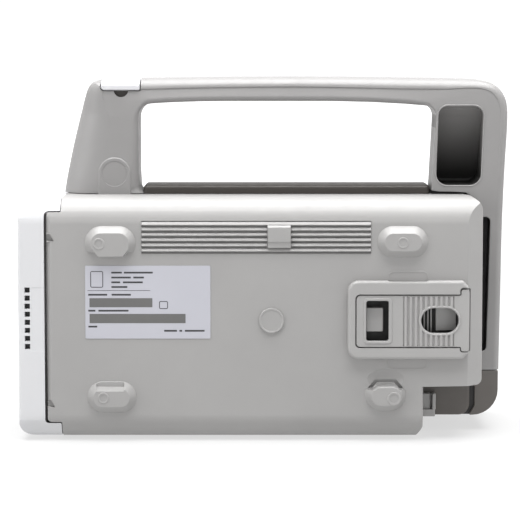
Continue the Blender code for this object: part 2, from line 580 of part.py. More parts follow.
pump = rod("cuff_pump", (-9.5, 104.0, 60.0), "Y", 10.5, 48.0, METAL, sides=24, edge=1.0)
add(pump, crod((-9.5, 100.5, 60.0), "Y", 4.0, 5.0, sides=12))
valves = box("cuff_valve_block", (-15.5, 66.0, 46.0), (2.8, 94.0, 72.0), BLACK, edge=0.8, segments=1)
add(valves, crod((-18.0, 86.0, 62.0), "X", 1.7, 4.0, sides=10), crod((-9.5, 92.0, 60.0), "Y", 1.7, 4.2, sides=10))


def tube(name, knots, radius, mat, points=26):
    """A soft tube along a smooth curve through its knots."""
    curve = bpy.data.curves.new(name, "CURVE")
    curve.dimensions = "3D"
    curve.bevel_depth = radius * MM
    curve.bevel_resolution = 2
    curve.use_fill_caps = True
    p0, p1, p2, p3 = (Vector(k) for k in knots)
    spline = curve.splines.new("POLY")
    spline.points.add(points - 1)
    for i in range(points):
        t = i / (points - 1)
        p = p0 * (1 - t) ** 3 + p1 * 3 * t * (1 - t) ** 2 + p2 * 3 * t * t * (1 - t) + p3 * t ** 3
        spline.points[i].co = (*at(*p), 1)
    obj = bpy.data.objects.new(name, curve)
    parts.objects.link(obj)
    obj.parent = root
    curve.materials.append(mat)
    return obj


tube("cuff_air_tube", ((-25.2, 74.0, 52.0), (-20.2, 74.0, 52.0), (-23.6, 86.0, 62.0), (-18.7, 86.0, 62.0)), 2.2, SILICONE, 16)
tube("pump_air_tube", ((-9.5, 96.8, 60.0), (-9.5, 97.8, 60.0), (-9.5, 98.9, 60.0), (-9.5, 99.9, 60.0)), 2.2, SILICONE, 3)

ribbon = [(10.0, 15.6), (10.0, 19.0), (11.5, 24.0), (14.8, 29.0), (17.2, 33.0), (17.2, 44.0)]
half = 0.2
left = [(x - half, y) for x, y in ribbon]
right = [(x + half, y) for x, y in reversed(ribbon)]
prism("display_flex_cable", left + right, "Z", 48.0, 66.0, COPPER)

# -------------------------------------------------------------- label and screws
box("rating_label", (X_FACE + 0.02, 27.1, 41.1), (X_FACE + 0.27, 77.8, 70.8), LABEL)

for k, (y, z) in enumerate(SCREWS, 1):
    head = rod(f"case_screw_{k}", (-12.4, y, z), "X", 3.1, 2.6, METAL, sides=16)
    add(head, crod((-10.5, y, z), "X", 1.45, 38.5, sides=10))
    cut(head, crod((-13.0, y, z), "X", 1.2, 1.8, sides=6))
for name, start, axis in (("handle_screw_front", Vector((0.0, 33.0, 93.0)), "Z"), ("handle_screw_rear", Vector((-2.0, 183.3, 60.0)), "Y")):
    along = Vector((0, 0, 1)) if axis == "Z" else Vector((0, 1, 0))
    head = rod(name, start, axis, 3.2, 2.4, METAL, sides=16)
    add(head, crod(start + along * 1.5, axis, 1.45, 10.7, sides=10))
    cut(head, crod(start - along * 0.5, axis, 1.3, 1.6, sides=6))

print("objects:", sum(o.type != "EMPTY" and not o.hide_render for o in bpy.data.objects))
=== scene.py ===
import json
import math

import bmesh
import bpy
from mathutils import Matrix, Vector

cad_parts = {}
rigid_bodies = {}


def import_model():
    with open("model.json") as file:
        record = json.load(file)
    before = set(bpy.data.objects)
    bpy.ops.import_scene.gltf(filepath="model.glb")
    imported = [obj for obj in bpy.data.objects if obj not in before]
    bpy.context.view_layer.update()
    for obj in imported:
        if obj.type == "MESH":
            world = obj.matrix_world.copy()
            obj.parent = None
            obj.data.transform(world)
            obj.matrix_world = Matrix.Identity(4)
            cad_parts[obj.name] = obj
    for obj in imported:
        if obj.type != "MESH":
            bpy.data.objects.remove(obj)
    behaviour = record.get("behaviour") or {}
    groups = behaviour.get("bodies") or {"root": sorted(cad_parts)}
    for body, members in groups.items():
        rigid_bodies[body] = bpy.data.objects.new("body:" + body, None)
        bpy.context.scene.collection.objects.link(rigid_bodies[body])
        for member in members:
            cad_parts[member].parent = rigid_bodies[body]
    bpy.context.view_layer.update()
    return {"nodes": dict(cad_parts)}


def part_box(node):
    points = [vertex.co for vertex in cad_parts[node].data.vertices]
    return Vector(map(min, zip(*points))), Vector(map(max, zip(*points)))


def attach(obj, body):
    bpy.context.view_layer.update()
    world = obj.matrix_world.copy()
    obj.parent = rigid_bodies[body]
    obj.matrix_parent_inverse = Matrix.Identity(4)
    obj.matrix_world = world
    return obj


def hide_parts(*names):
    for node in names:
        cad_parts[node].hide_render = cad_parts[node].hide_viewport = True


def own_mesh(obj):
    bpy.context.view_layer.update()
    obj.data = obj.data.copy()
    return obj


for old in list(bpy.data.objects):
    bpy.data.objects.remove(old, do_unlink=True)

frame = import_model()

# Positions below are the design's millimetres: X out of the docking side, Y from the
# screen to the rear, Z up. Y_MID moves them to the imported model's frame.
MM = 0.001
Y_MID = 11.4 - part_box("docking_side_housing")[0].y / MM


def at(x, y, z):
    return Vector((x, y - Y_MID, z)) * MM


# ------------------------------------------------------------------ camera, light, floor
PITCH = math.radians(5.3)
REACH = 930.0
AIM = Vector((39.5, 97.86, 73.1))

scene = bpy.context.scene
cam_data = bpy.data.cameras.new("camera")
cam_data.sensor_width = 36.0
cam_data.lens = 2300.0 / 520.0 * 36.0
cam_data.clip_start = 0.05
cam_data.clip_end = 60.0
camera = bpy.data.objects.new("camera", cam_data)
scene.collection.objects.link(camera)
back = Vector((math.cos(PITCH), 0.0, math.sin(PITCH)))
camera.location = at(*(AIM + back * REACH))
camera.rotation_mode = "QUATERNION"
camera.rotation_quaternion = (-back).to_track_quat("-Z", "Y")
scene.camera = camera
scene.view_settings.view_transform = "Standard"

world = bpy.data.worlds.new("studio")
scene.world = world
world.use_nodes = True
wn = world.node_tree
wn.nodes.clear()
out = wn.nodes.new("ShaderNodeOutputWorld")
mix = wn.nodes.new("ShaderNodeMixShader")
rays = wn.nodes.new("ShaderNodeLightPath")
soft = wn.nodes.new("ShaderNodeBackground")
soft.inputs["Color"].default_value = (1.0, 1.0, 1.0, 1.0)
soft.inputs["Strength"].default_value = 0.43
seen = wn.nodes.new("ShaderNodeBackground")
seen.inputs["Color"].default_value = (1.0, 1.0, 1.0, 1.0)
seen.inputs["Strength"].default_value = 1.05
gloss = wn.nodes.new("ShaderNodeMath")
gloss.operation = "MULTIPLY"
gloss.inputs[1].default_value = 0.55
wn.links.new(rays.outputs["Is Glossy Ray"], gloss.inputs[0])
either = wn.nodes.new("ShaderNodeMath")
either.operation = "MAXIMUM"
wn.links.new(rays.outputs["Is Camera Ray"], either.inputs[0])
wn.links.new(gloss.outputs[0], either.inputs[1])
wn.links.new(either.outputs[0], mix.inputs[0])
wn.links.new(soft.outputs[0], mix.inputs[1])
wn.links.new(seen.outputs[0], mix.inputs[2])
wn.links.new(mix.outputs[0], out.inputs["Surface"])


def area(name, where, target, size, power, colour=(1.0, 1.0, 1.0)):
    data = bpy.data.lights.new(name, "AREA")
    data.shape = "RECTANGLE"
    data.size, data.size_y = size
    data.energy = power
    data.color = colour
    lamp = bpy.data.objects.new(name, data)
    scene.collection.objects.link(lamp)
    lamp.location = Vector(where)
    lamp.rotation_mode = "QUATERNION"
    lamp.rotation_quaternion = (Vector(target) - Vector(where)).to_track_quat("-Z", "Y")
    return lamp


area("overhead_softbox", (0.06, 0.0, 1.6), (0, 0, 0.05), (1.8, 1.8), 82.0)
area("left_softbox", (0.55, -1.35, 0.45), (0, 0, 0.07), (0.9, 0.9), 6.5)
area("right_softbox", (0.25, 1.45, 0.5), (0, 0, 0.07), (0.9, 0.9), 4.0)
area("low_reflector", (0.42, 0.0, 0.012), (0.04, 0.0, 0.03), (1.0, 0.45), 0.25)


# ------------------------------------------------------------------------- the makers
def fillet(corners, n=6):
    """A polygon whose corners (u, v, radius) are rounded, with n + 1 points to a rounded corner."""
    count, out = len(corners), []
    for i, corner in enumerate(corners):
        u, v = corner[0], corner[1]
        radius = corner[2] if len(corner) > 2 else 0.0
        here = Vector((u, v))
        if radius <= 0:
            out.append((u, v))
            continue
        a = (Vector(corners[i - 1][:2]) - here).normalized()
        b = (Vector(corners[(i + 1) % count][:2]) - here).normalized()
        half = a.angle(b) / 2
        reach = radius / math.tan(half)
        centre = here + (a + b).normalized() * (radius / math.sin(half))
        start, end = here + a * reach - centre, here + b * reach - centre
        turn = start.angle_signed(end)
        for k in range(n + 1):
            c, s = math.cos(-turn * k / n), math.sin(-turn * k / n)
            out.append((centre.x + start.x * c - start.y * s, centre.y + start.x * s + start.y * c))
    return out


def rect(u0, u1, v0, v1, r=0.0, n=6):
    return fillet([(u0, v0, r), (u1, v0, r), (u1, v1, r), (u0, v1, r)], n)


def oval(u0, u1, v0, v1, n=10):
    return rect(u0, u1, v0, v1, min(u1 - u0, v1 - v0) / 2 - 0.02, n)


def circle(u, v, r, n=32):
    return [(u + r * math.cos(2 * math.pi * k / n), v + r * math.sin(2 * math.pi * k / n)) for k in range(n)]


def offset(loop, d):
    """An outline moved inwards by d, or outwards where d is negative."""
    if abs(d) < 1e-9:
        return list(loop)
    n = len(loop)
    turn = sum(loop[i - 1][0] * loop[i][1] - loop[i][0] * loop[i - 1][1] for i in range(n))
    sign = 1.0 if turn > 0 else -1.0
    out = []
    for i in range(n):
        p0, p1, p2 = Vector(loop[i - 1]), Vector(loop[i]), Vector(loop[(i + 1) % n])
        e1, e2 = (p1 - p0).normalized(), (p2 - p1).normalized()
        n1, n2 = Vector((-e1.y, e1.x)) * sign, Vector((-e2.y, e2.x)) * sign
        p = p1 + (n1 + n2) * (d / max(0.25, 1.0 + n1.dot(n2)))
        out.append((p.x, p.y))
    return out


def lift(axis, loop, w):
    """(u, v) is (Y, Z) on the X axis, (X, Z) on the Y axis and (X, Y) on the Z axis."""
    if axis == "X":
        return [(w, u, v) for u, v in loop]
    if axis == "Y":
        return [(u, w, v) for u, v in loop]
    return [(u, v, w) for u, v in loop]


def from_data(name, verts, faces):
    mesh = bpy.data.meshes.new(name)
    mesh.from_pydata([at(*p) for p in verts], [], faces)
    bm = bmesh.new()
    bm.from_mesh(mesh)
    bmesh.ops.remove_doubles(bm, verts=bm.verts, dist=2e-7)
    bmesh.ops.dissolve_degenerate(bm, edges=bm.edges, dist=1e-7)
    bmesh.ops.recalc_face_normals(bm, faces=bm.faces)
    bm.to_mesh(mesh)
    bm.free()
    obj = bpy.data.objects.new(name, mesh)
    scene.collection.objects.link(obj)
    return obj


def loft(name, rings, caps=True, closed=False):
    """A skin over rings of points with the same count, capped at both ends or closed on itself."""
    n = len(rings[0])
    verts = [p for ring in rings for p in ring]
    faces = []
    spans = len(rings) if closed else len(rings) - 1
    for k in range(spans):
        a, b = k * n, ((k + 1) % len(rings)) * n
        for i in range(n):
            j = (i + 1) % n
            faces.append((a + i, a + j, b + j, b + i))
    if caps and not closed:
        faces.append(tuple(range(n - 1, -1, -1)))
        faces.append(tuple(range((len(rings) - 1) * n, len(rings) * n)))
    return from_data(name, verts, faces)


def solid(name, outline, axis, lo, hi, r_lo=0.0, r_hi=0.0, n=4):
    """An outline pulled along an axis, with rounded rims."""
    steps = []
    if r_lo > 0:
        for k in range(n + 1):
            t = math.pi / 2 * k / n
            steps.append((lo + r_lo * (1 - math.cos(t)), r_lo * (1 - math.sin(t))))
    else:
        steps.append((lo, 0.0))
    if r_hi > 0:
        for k in range(n, -1, -1):
            t = math.pi / 2 * k / n
            steps.append((hi - r_hi * (1 - math.cos(t)), r_hi * (1 - math.sin(t))))
    else:
        steps.append((hi, 0.0))
    return loft(name, [lift(axis, offset(outline, inset), w) for w, inset in steps])


def pit(outline, axis, floor, surface, r=0.0, r_floor=0.0, n=4, beyond=6.0):
    """A cutter from a pit's floor out past the surface, with a rounded mouth."""
    way = 1.0 if surface > floor else -1.0
    steps = []
    if r_floor > 0:
        for k in range(n + 1):
            t = math.pi / 2 * k / n
            steps.append((floor + way * r_floor * (1 - math.cos(t)), r_floor * (1 - math.sin(t))))
    else:
        steps.append((floor, 0.0))
    if r > 0:
        for k in range(n + 1):
            t = math.pi / 2 * k / n
            steps.append((surface - way * r * (1 - math.sin(t)), -r * (1 - math.cos(t))))
        steps.append((surface + way * beyond, -r))
    else:
        steps.append((surface + way * beyond, 0.0))
    return loft("cutter", [lift(axis, offset(outline, inset), w) for w, inset in steps])


def block(lo, hi):
    return solid("cutter", rect(lo[1], hi[1], lo[2], hi[2]), "X", lo[0], hi[0])


def turned(name, profile, axis, u, v, n=32, closed=True):
    """A profile of (radius, height) turned round an axis through (u, v)."""
    rings = []
    for k in range(n):
        c, s = math.cos(2 * math.pi * k / n), math.sin(2 * math.pi * k / n)
        rings.append([lift(axis, [(u + r * c, v + r * s)], w)[0] for r, w in profile])
    return loft(name, rings, caps=False, closed=True)


def ball(centre, radii, n=24, m=14):
    rings = []
    for k in range(m + 1):
        t = math.pi * k / m
        w = centre[2] - radii[2] * math.cos(t)
        s = max(math.sin(t), 0.002)
        rings.append([(centre[0] + radii[0] * s * math.cos(2 * math.pi * i / n), centre[1] + radii[1] * s * math.sin(2 * math.pi * i / n), w) for i in range(n)])
    return loft("cutter", rings)


def combine(obj, others, how):
    for other in others:
        m = obj.modifiers.new("cut", "BOOLEAN")
        m.operation = how
        m.solver = "EXACT"
        m.object = other
    bpy.context.view_layer.update()
    graph = bpy.context.evaluated_depsgraph_get()
    mesh = bpy.data.meshes.new_from_object(obj.evaluated_get(graph))
    obj.modifiers.clear()
    old = obj.data
    obj.data = mesh
    bpy.data.meshes.remove(old)
    for other in others:
        data = other.data
        bpy.data.objects.remove(other, do_unlink=True)
        bpy.data.meshes.remove(data)
    return obj


def cut(obj, *others):
    return combine(obj, others, "DIFFERENCE")


def add(obj, *others):
    return combine(obj, others, "UNION")


def keep(obj, *others):
    return combine(obj, others, "INTERSECT")


def join(obj, *others):
    """Puts separate closed bodies of one piece in one mesh."""
    bm = bmesh.new()
    bm.from_mesh(obj.data)
    for other in others:
        bm.from_mesh(other.data)
        data = other.data
        bpy.data.objects.remove(other, do_unlink=True)
        bpy.data.meshes.remove(data)
    bm.to_mesh(obj.data)
    bm.free()
    return obj


def finish(obj, name, mat, body="housing", nodes=(), angle=32.0, weighted=True):
    obj.name = name
    mesh = obj.data
    mesh.name = name
    bm = bmesh.new()
    bm.from_mesh(mesh)
    bmesh.ops.remove_doubles(bm, verts=bm.verts, dist=2e-7)
    bmesh.ops.dissolve_degenerate(bm, edges=bm.edges, dist=1e-7)
    loose = [v for v in bm.verts if not v.link_faces]
    bmesh.ops.delete(bm, geom=loose, context="VERTS")
    bm.to_mesh(mesh)
    bm.free()
    mesh.materials.clear()
    mesh.materials.append(mat)
    for poly in mesh.polygons:
        poly.material_index = 0
    mesh.shade_smooth()
    mesh.set_sharp_from_angle(angle=math.radians(angle))
    if weighted:
        m = obj.modifiers.new("weighted", "WEIGHTED_NORMAL")
        m.keep_sharp = True
        m.mode = "FACE_AREA"
    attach(obj, body)
    if nodes:
        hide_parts(*nodes)
    return obj


# ------------------------------------------------------------------------- materials
def nodes_of(name):
    m = bpy.data.materials.new(name)
    m.use_nodes = True
    return m, m.node_tree, m.node_tree.nodes["Principled BSDF"]


def noise(tree, coords, scale, detail=2.0, rough=0.5):
    n = tree.nodes.new("ShaderNodeTexNoise")
    n.inputs["Scale"].default_value = scale
    n.inputs["Detail"].default_value = detail
    n.inputs["Roughness"].default_value = rough
    tree.links.new(coords, n.inputs["Vector"])
    return n.outputs["Fac"]


def spread(tree, value, lo, hi, a=0.3, b=0.7):
    n = tree.nodes.new("ShaderNodeMapRange")
    n.inputs["From Min"].default_value = a
    n.inputs["From Max"].default_value = b
    n.inputs["To Min"].default_value = lo
    n.inputs["To Max"].default_value = hi
    tree.links.new(value, n.inputs["Value"])
    return n.outputs["Result"]


def blend_colour(tree, fac, a, b):
    n = tree.nodes.new("ShaderNodeMix")
    n.data_type = "RGBA"
    tree.links.new(fac, n.inputs["Factor"])
    n.inputs[6].default_value = (*a, 1.0)
    n.inputs[7].default_value = (*b, 1.0)
    return n.outputs[2]


def moulded(name, colour, rough=0.46, grain=3200.0, depth=0.000022, vary=0.03, gloss=0.06, metallic=0.0, specular=0.5):
    """Moulded plastic: spark-eroded texture, slow colour drift and uneven gloss from handling."""
    m, tree, shader = nodes_of(name)
    coords = tree.nodes.new("ShaderNodeTexCoord").outputs["Object"]
    drift = spread(tree, noise(tree, coords, 38.0, 4.0), 0.0, 1.0)
    dark = tuple(c * (1 - vary) for c in colour)
    light = tuple(min(1.0, c * (1 + vary)) for c in colour)
    tree.links.new(blend_colour(tree, drift, dark, light), shader.inputs["Base Color"])
    tree.links.new(spread(tree, noise(tree, coords, 240.0, 3.0), rough - gloss, rough + gloss), shader.inputs["Roughness"])
    shader.inputs["Metallic"].default_value = metallic
    shader.inputs["Specular IOR Level"].default_value = specular
    bump = tree.nodes.new("ShaderNodeBump")
    bump.inputs["Strength"].default_value = 1.0
    bump.inputs["Distance"].default_value = depth
    tree.links.new(noise(tree, coords, grain, 2.0), bump.inputs["Height"])
    tree.links.new(bump.outputs["Normal"], shader.inputs["Normal"])
    return m


def brushed(name, colour, rough=0.34, stretch=(1.0, 18.0, 18.0)):
    """Rolled sheet metal with a fine directional grain."""
    m, tree, shader = nodes_of(name)
    coords = tree.nodes.new("ShaderNodeTexCoord").outputs["Object"]
    scale = tree.nodes.new("ShaderNodeMapping")
    scale.inputs["Scale"].default_value = stretch
    tree.links.new(coords, scale.inputs["Vector"])
    grain = noise(tree, scale.outputs["Vector"], 220.0, 5.0, 0.6)
    tree.links.new(blend_colour(tree, spread(tree, grain, 0, 1), tuple(c * 0.88 for c in colour), colour), shader.inputs["Base Color"])
    tree.links.new(spread(tree, grain, rough - 0.08, rough + 0.1), shader.inputs["Roughness"])
    shader.inputs["Metallic"].default_value = 1.0
    bump = tree.nodes.new("ShaderNodeBump")
    bump.inputs["Distance"].default_value = 0.00001
    tree.links.new(grain, bump.inputs["Height"])
    tree.links.new(bump.outputs["Normal"], shader.inputs["Normal"])
    return m


def board(name):
    """Green circuit board: solder mask over copper runs, with rows of bright pads."""
    m, tree, shader = nodes_of(name)
    coords = tree.nodes.new("ShaderNodeTexCoord").outputs["Object"]
    runs = tree.nodes.new("ShaderNodeTexBrick")
    runs.inputs["Scale"].default_value = 260.0
    runs.inputs["Mortar Size"].default_value = 0.03
    runs.inputs["Color1"].default_value = (0.012, 0.10, 0.035, 1)
    runs.inputs["Color2"].default_value = (0.016, 0.13, 0.045, 1)
    runs.inputs["Mortar"].default_value = (0.03, 0.22, 0.08, 1)
    tree.links.new(coords, runs.inputs["Vector"])
    cells = tree.nodes.new("ShaderNodeTexVoronoi")
    cells.inputs["Scale"].default_value = 420.0
    tree.links.new(coords, cells.inputs["Vector"])
    pads = spread(tree, cells.outputs["Distance"], 1.0, 0.0, 0.10, 0.13)
    mixed = tree.nodes.new("ShaderNodeMix")
    mixed.data_type = "RGBA"
    tree.links.new(pads, mixed.inputs["Factor"])
    tree.links.new(runs.outputs["Color"], mixed.inputs[6])
    mixed.inputs[7].default_value = (0.62, 0.60, 0.55, 1.0)
    tree.links.new(mixed.outputs[2], shader.inputs["Base Color"])
    tree.links.new(spread(tree, noise(tree, coords, 300.0, 2.0), 0.3, 0.45), shader.inputs["Roughness"])
    bump = tree.nodes.new("ShaderNodeBump")
    bump.inputs["Distance"].default_value = 0.00003
    tree.links.new(runs.outputs["Fac"], bump.inputs["Height"])
    tree.links.new(bump.outputs["Normal"], shader.inputs["Normal"])
    return m


SHELL = moulded("housing_light_grey_moulded", (0.305, 0.300, 0.296), 0.47)
BEZEL = moulded("bezel_white_moulded", (0.57, 0.572, 0.585), 0.42, vary=0.015)
HANDLE = moulded("handle_grey_moulded", (0.245, 0.240, 0.238), 0.46)
# near-black painted shade for the strip under the grip and the floor of the lamp-cap notch
PAINTED_SHADE_STRIP = moulded("handle_strip_painted_shade", (0.030, 0.025, 0.021), 0.5)
SEAL = moulded("seal_rubber_matt", (0.035, 0.033, 0.032), 0.75, specular=0.3)
LENS = moulded("lamp_lens_frosted", (0.58, 0.58, 0.60), 0.3, vary=0.01, depth=0.000008)
LATCH = moulded("latch_grey_moulded", (0.325, 0.320, 0.316), 0.44)
BATTERY = moulded("battery_dark_grey_moulded", (0.105, 0.096, 0.088), 0.5)
# black plastic of the battery bay and vent cloth; also used as painted shade in the handle slot, latch well and battery
# groove
BLACK_AND_PAINTED_SHADE = moulded("black_moulded_and_painted_shade", (0.018, 0.017, 0.017), 0.5)
EJECT = moulded("eject_light_grey_moulded", (0.40, 0.395, 0.39), 0.45)
KEYS = moulded("key_white_moulded", (0.60, 0.60, 0.61), 0.4, vary=0.015)
PANEL = moulded("panel_grey_moulded", (0.17, 0.168, 0.166), 0.5)
CREAM = moulded("socket_white_moulded", (0.62, 0.62, 0.59), 0.38)
BLUE = moulded("socket_blue_moulded", (0.03, 0.09, 0.34), 0.38)
RED = moulded("socket_red_moulded", (0.40, 0.03, 0.03), 0.38)
BROWN = moulded("socket_brown_moulded", (0.15, 0.075, 0.04), 0.4)
PLUG = moulded("connector_black_moulded", (0.02, 0.02, 0.021), 0.45)
SPEAKER = moulded("speaker_black_moulded", (0.03, 0.03, 0.03), 0.6)
SILICONE = moulded("silicone_milky", (0.42, 0.42, 0.43), 0.55, depth=0.00001)
PIPE = moulded("light_pipe_clear", (0.78, 0.80, 0.78), 0.2, vary=0.01, depth=0.000004)
STEEL = brushed("zinc_steel_brushed", (0.60, 0.60, 0.61))
CHASSIS = brushed("chassis_steel_rolled", (0.52, 0.53, 0.54), 0.4)
SPRING = brushed("spring_steel_drawn", (0.55, 0.55, 0.56), 0.28, (1, 1, 1))
GOLD = brushed("contact_gold_plated", (0.83, 0.62, 0.28), 0.25, (1, 1, 1))
BOARD = board("circuit_board_mask")
FLEX = moulded("flex_polyimide_film", (0.42, 0.16, 0.03), 0.3, vary=0.06)

# ------------------------------------------------------------------ docking-side shell
X_FACE, X_PAD, Z_TOP, Y_REAR = 39.5, 43.0, 98.0, 188.45
R_TOP, R_BASE = 10.5, 10.0

upper = solid("shell", fillet([(14.0, 20.0, 0), (X_FACE, 20.0, 1.0), (X_FACE, Z_TOP, R_TOP), (14.0, Z_TOP, 0)], 12), "Y", 11.4, 195.0, r_lo=0.8)
keep(
    upper,
    solid("cutter", fillet([(17.3, Z_TOP + 4, 0), (17.3, 92.35, 0.5), (11.3, 92.35, 1.4), (11.3, 19.99, 0), (150.0, 19.99, 0), (150.4, 21.1, 0), (Y_REAR, 21.75, 2.4), (Y_REAR, Z_TOP + 0.01, 5.6), (30.0, Z_TOP + 0.01, 0), (24.0, Z_TOP + 4, 0)], 8), "X", 10.0, 50.0),
    solid("cutter", fillet([(10.0, 8.0, 0), (50.0, 8.0, 0), (50.0, 171.6, 0), (X_FACE, 182.2, 1.6), (34.2, Y_REAR, 1.8), (10.0, Y_REAR, 0)], 6), "Z", 10.0, 110.0),
)
lower = solid("shell", fillet([(14.0, 0.0, 0), (X_FACE, 0.0, R_BASE), (X_FACE, 24.0, 0), (14.0, 24.0, 0)], 12), "Y", 11.4, 164.2, r_lo=0.8, r_hi=1.0)
cut(lower, solid("cutter", fillet([(5.0, -3.0, 0), (17.3, -3.0, 0), (17.3, 6.8, 0.5), (11.3, 6.8, 2.0), (11.3, 9.5, 0), (5.0, 9.5, 0)], 5), "X", 10.0, 50.0),
    solid("cutter", [(161.05, -1.0), (175.0, -1.0), (175.0, 24.2)], "X", 10.0, 50.0))
shell = add(upper, lower)
cut(
    shell,
    solid("cutter", fillet([(8.0, 23.2, 0), (37.2, 23.2, 1.0), (37.2, 95.8, 8.3), (8.0, 95.8, 0)], 6), "Y", 5.0, 181.0),
    solid("cutter", fillet([(8.0, 2.2, 0), (37.2, 2.2, 7.8), (37.2, 26.0, 0), (8.0, 26.0, 0)], 6), "Y", 5.0, 161.8),
)
# the front edge's lip between its two snap notches, the notches, the latch and connector openings
cut(
    shell,
    solid("cutter", [(37.75, 10.8), (41.0, 10.8), (41.0, 13.4), (39.52, 13.3)], "Z", 14.2, 80.4),
    solid("cutter", [(38.0, 10.8), (41.0, 10.8), (41.0, 13.1), (39.52, 13.0)], "Z", 84.2, 90.6),
    solid("cutter", fillet([(10.0, 83.6, 0), (12.9, 83.6, 0.4), (14.2, 81.5, 0.4), (14.5, 80.6, 0.2), (10.0, 81.1, 0)], 3), "X", 38.0, 50.0),
    solid("cutter", fillet([(10.0, 15.9, 0), (12.9, 15.9, 0.4), (14.2, 13.8, 0.4), (14.5, 12.9, 0.2), (10.0, 13.4, 0)], 3), "X", 38.0, 50.0),
    solid("cutter", rect(135.2, 180.8, 35.3, 62.5, 2.0, 4), "X", 30.0, 45.0),
    solid("cutter", rect(17.7, 31.3, 47.7, 72.3, 0.6, 3), "Y", 180.0, 195.0),
    solid("cutter", rect(180.0, 183.2, 35.9, 61.6, 0.5, 3), "X", 37.6, 45.0),
    block((11.6, 158.0, 4.3), (18.4, 168.0, 16.0)),
)
# the recess that holds the guide ribs
cut(shell, pit(rect(49.9, 142.75, 75.75, 88.95), "X", 38.3, X_FACE, 0.12, n=2))
# the dimple and slot above the lower rear pad
cut(shell, ball((40.35, 148.85, 24.6), (2.1, 8.2, 4.6)))
cut(shell, solid("cutter", fillet([(141.6, 20.9, 0.2), (143.4, 20.9, 0), (145.6, 23.2, 0), (152.2, 23.2, 0), (154.4, 20.9, 0), (156.1, 20.9, 0.2), (153.3, 24.2, 0.5), (144.5, 24.2, 0.5)], 3), "X", 37.6, 50.0))
finish(shell, "docking_side_shell", SHELL, nodes=("docking_side_housing",))

# guide ribs: six slats that face up, with deep shadow gaps between them
slats = [(38.0, 75.9)]
for k in range(6):
    z = 76.62 + 2.13 * k
    slats += [(38.35, z - 0.1), (40.1, z - 0.04), (40.28, z + 0.1), (40.22, z + 0.3), (39.62, z + 1.17), (39.45, z + 1.24), (38.35, z + 1.3)]
slats += [(38.0, 88.8)]
ribs = solid("ribs", slats, "Y", 50.0, 142.65)
BLOCK_Y, BLOCK_Z = (100.7, 110.5), (77.95, 87.25)
cut(ribs, solid("cutter", rect(*BLOCK_Y, *BLOCK_Z), "X", 38.6, 50.0))
key_block = solid("key_block", [(38.2, 78.0), (40.5, 78.0), (40.8, 78.15), (41.0, 80.3), (41.35, 80.6), (41.4, 80.9), (41.35, 86.1), (41.2, 86.5), (40.6, 87.1), (40.3, 87.2), (38.2, 87.2)], "Y", BLOCK_Y[0] + 0.2, BLOCK_Y[1] - 0.2, r_lo=0.15, r_hi=0.15, n=2)
join(ribs, key_block)
finish(ribs, "guide_ribs", SHELL, angle=28)

boss = turned("boss", [(0.02, 39.2), (0.02, 40.1), (4.1, 40.1), (4.25, 40.15), (4.45, 40.3), (4.8, 40.35), (5.05, 40.25), (5.2, 40.0), (5.2, 39.2)], "X", 102.5, 48.4, 48)
finish(boss, "gate_boss", SHELL)


def ring(y, z, x, outer=2.35, inner=1.45, high=0.22):
    return turned("ring", [(inner, x - 0.2), (inner, x + high * 0.6), (inner + 0.2, x + high), (outer - 0.3, x + high), (outer, x + high * 0.3), (outer, x - 0.2)], "X", y, z, 36)


def pad(name, y0, y1, z0, z1, bevel=2.7):
    r = (z1 - z0) / 2 - 0.02
    rings = []
    for x, inset in ((39.1, -0.1), (39.5, -0.1), (39.68, 0.0), (39.85, 0.12), (42.5, bevel - 0.55), (42.78, bevel - 0.3), (42.94, bevel - 0.12), (43.0, bevel + 0.15)):
        rings.append(lift("X", rect(y0 + inset, y1 - inset, z0 + inset, z1 - inset, r - inset, 12), x))
    return loft(name, rings)


def pad_plate(name, y0, y1, z0, z1, cut_low, c=(2.3, 2.9), r=2.6):
    """A flat plate with two corners cut off, drawn at its top outline and grown towards its foot."""
    g = 0.55
    y0, y1, z0, z1 = y0 + g, y1 - g, z0 + g, z1 - g
    if cut_low:
        loop = [(y0, z0 + c[1], 0.3), (y0 + c[0], z0, 0.4), (y1 - c[0], z0, 0.4), (y1, z0 + c[1], 0.3), (y1, z1, r), (y0, z1, r)]
    else:
        loop = [(y0, z0, r), (y1, z0, r), (y1, z1 - c[1], 0.3), (y1 - c[0], z1, 0.4), (y0 + c[0], z1, 0.4), (y0, z1 - c[1], 0.3)]
    outline = fillet(loop, 6)
    return loft(name, [lift("X", offset(outline, i - g), x) for x, i in ((39.1, -0.3), (39.5, -0.3), (42.3, -0.05), (42.75, 0.08), (42.95, 0.3), (43.0, g))])


pad_tl = pad("pad", 27.1, 47.5, 73.1, 86.8)
cut(pad_tl, block((30, 20, 60), (50, 60, 76.4)))
add(pad_tl, pad_plate("plate", 29.9, 45.1, 74.5, 83.9, True))
join(pad_tl, ring(32.9, 79.9, X_PAD, outer=2.45))
finish(pad_tl, "dock_pad_front_upper", SHELL, angle=24)

pad_tr = pad("pad", 145.4, 165.8, 74.2, 86.8, 2.85)
join(pad_tr, ring(155.5, 80.3, X_PAD))
finish(pad_tr, "dock_pad_rear_upper", SHELL, angle=24)

pad_bl = pad("pad", 27.8, 47.6, 10.9, 23.5)
cut(pad_bl, solid("cutter", [(43.4, 19.75), (42.9, 19.95), (40.3, 21.45), (39.9, 21.5), (39.9, 25.0), (43.4, 25.0)], "Y", 31.4, 42.8))
join(pad_bl, ring(34.4, 17.2, X_PAD))
finish(pad_bl, "dock_pad_front_lower", SHELL, angle=24)

pad_br = pad("pad", 140.6, 157.0, 11.4, 25.2)
cut(pad_br, block((30, 130, 20.3), (50, 170, 40)))
add(pad_br, pad_plate("plate", 143.0, 155.4, 13.9, 21.7, False, c=(2.5, 1.8)))
join(pad_br, ring(152.2, 16.9, X_PAD, outer=2.85, inner=1.75))
finish(pad_br, "dock_pad_rear_lower", SHELL, angle=24)

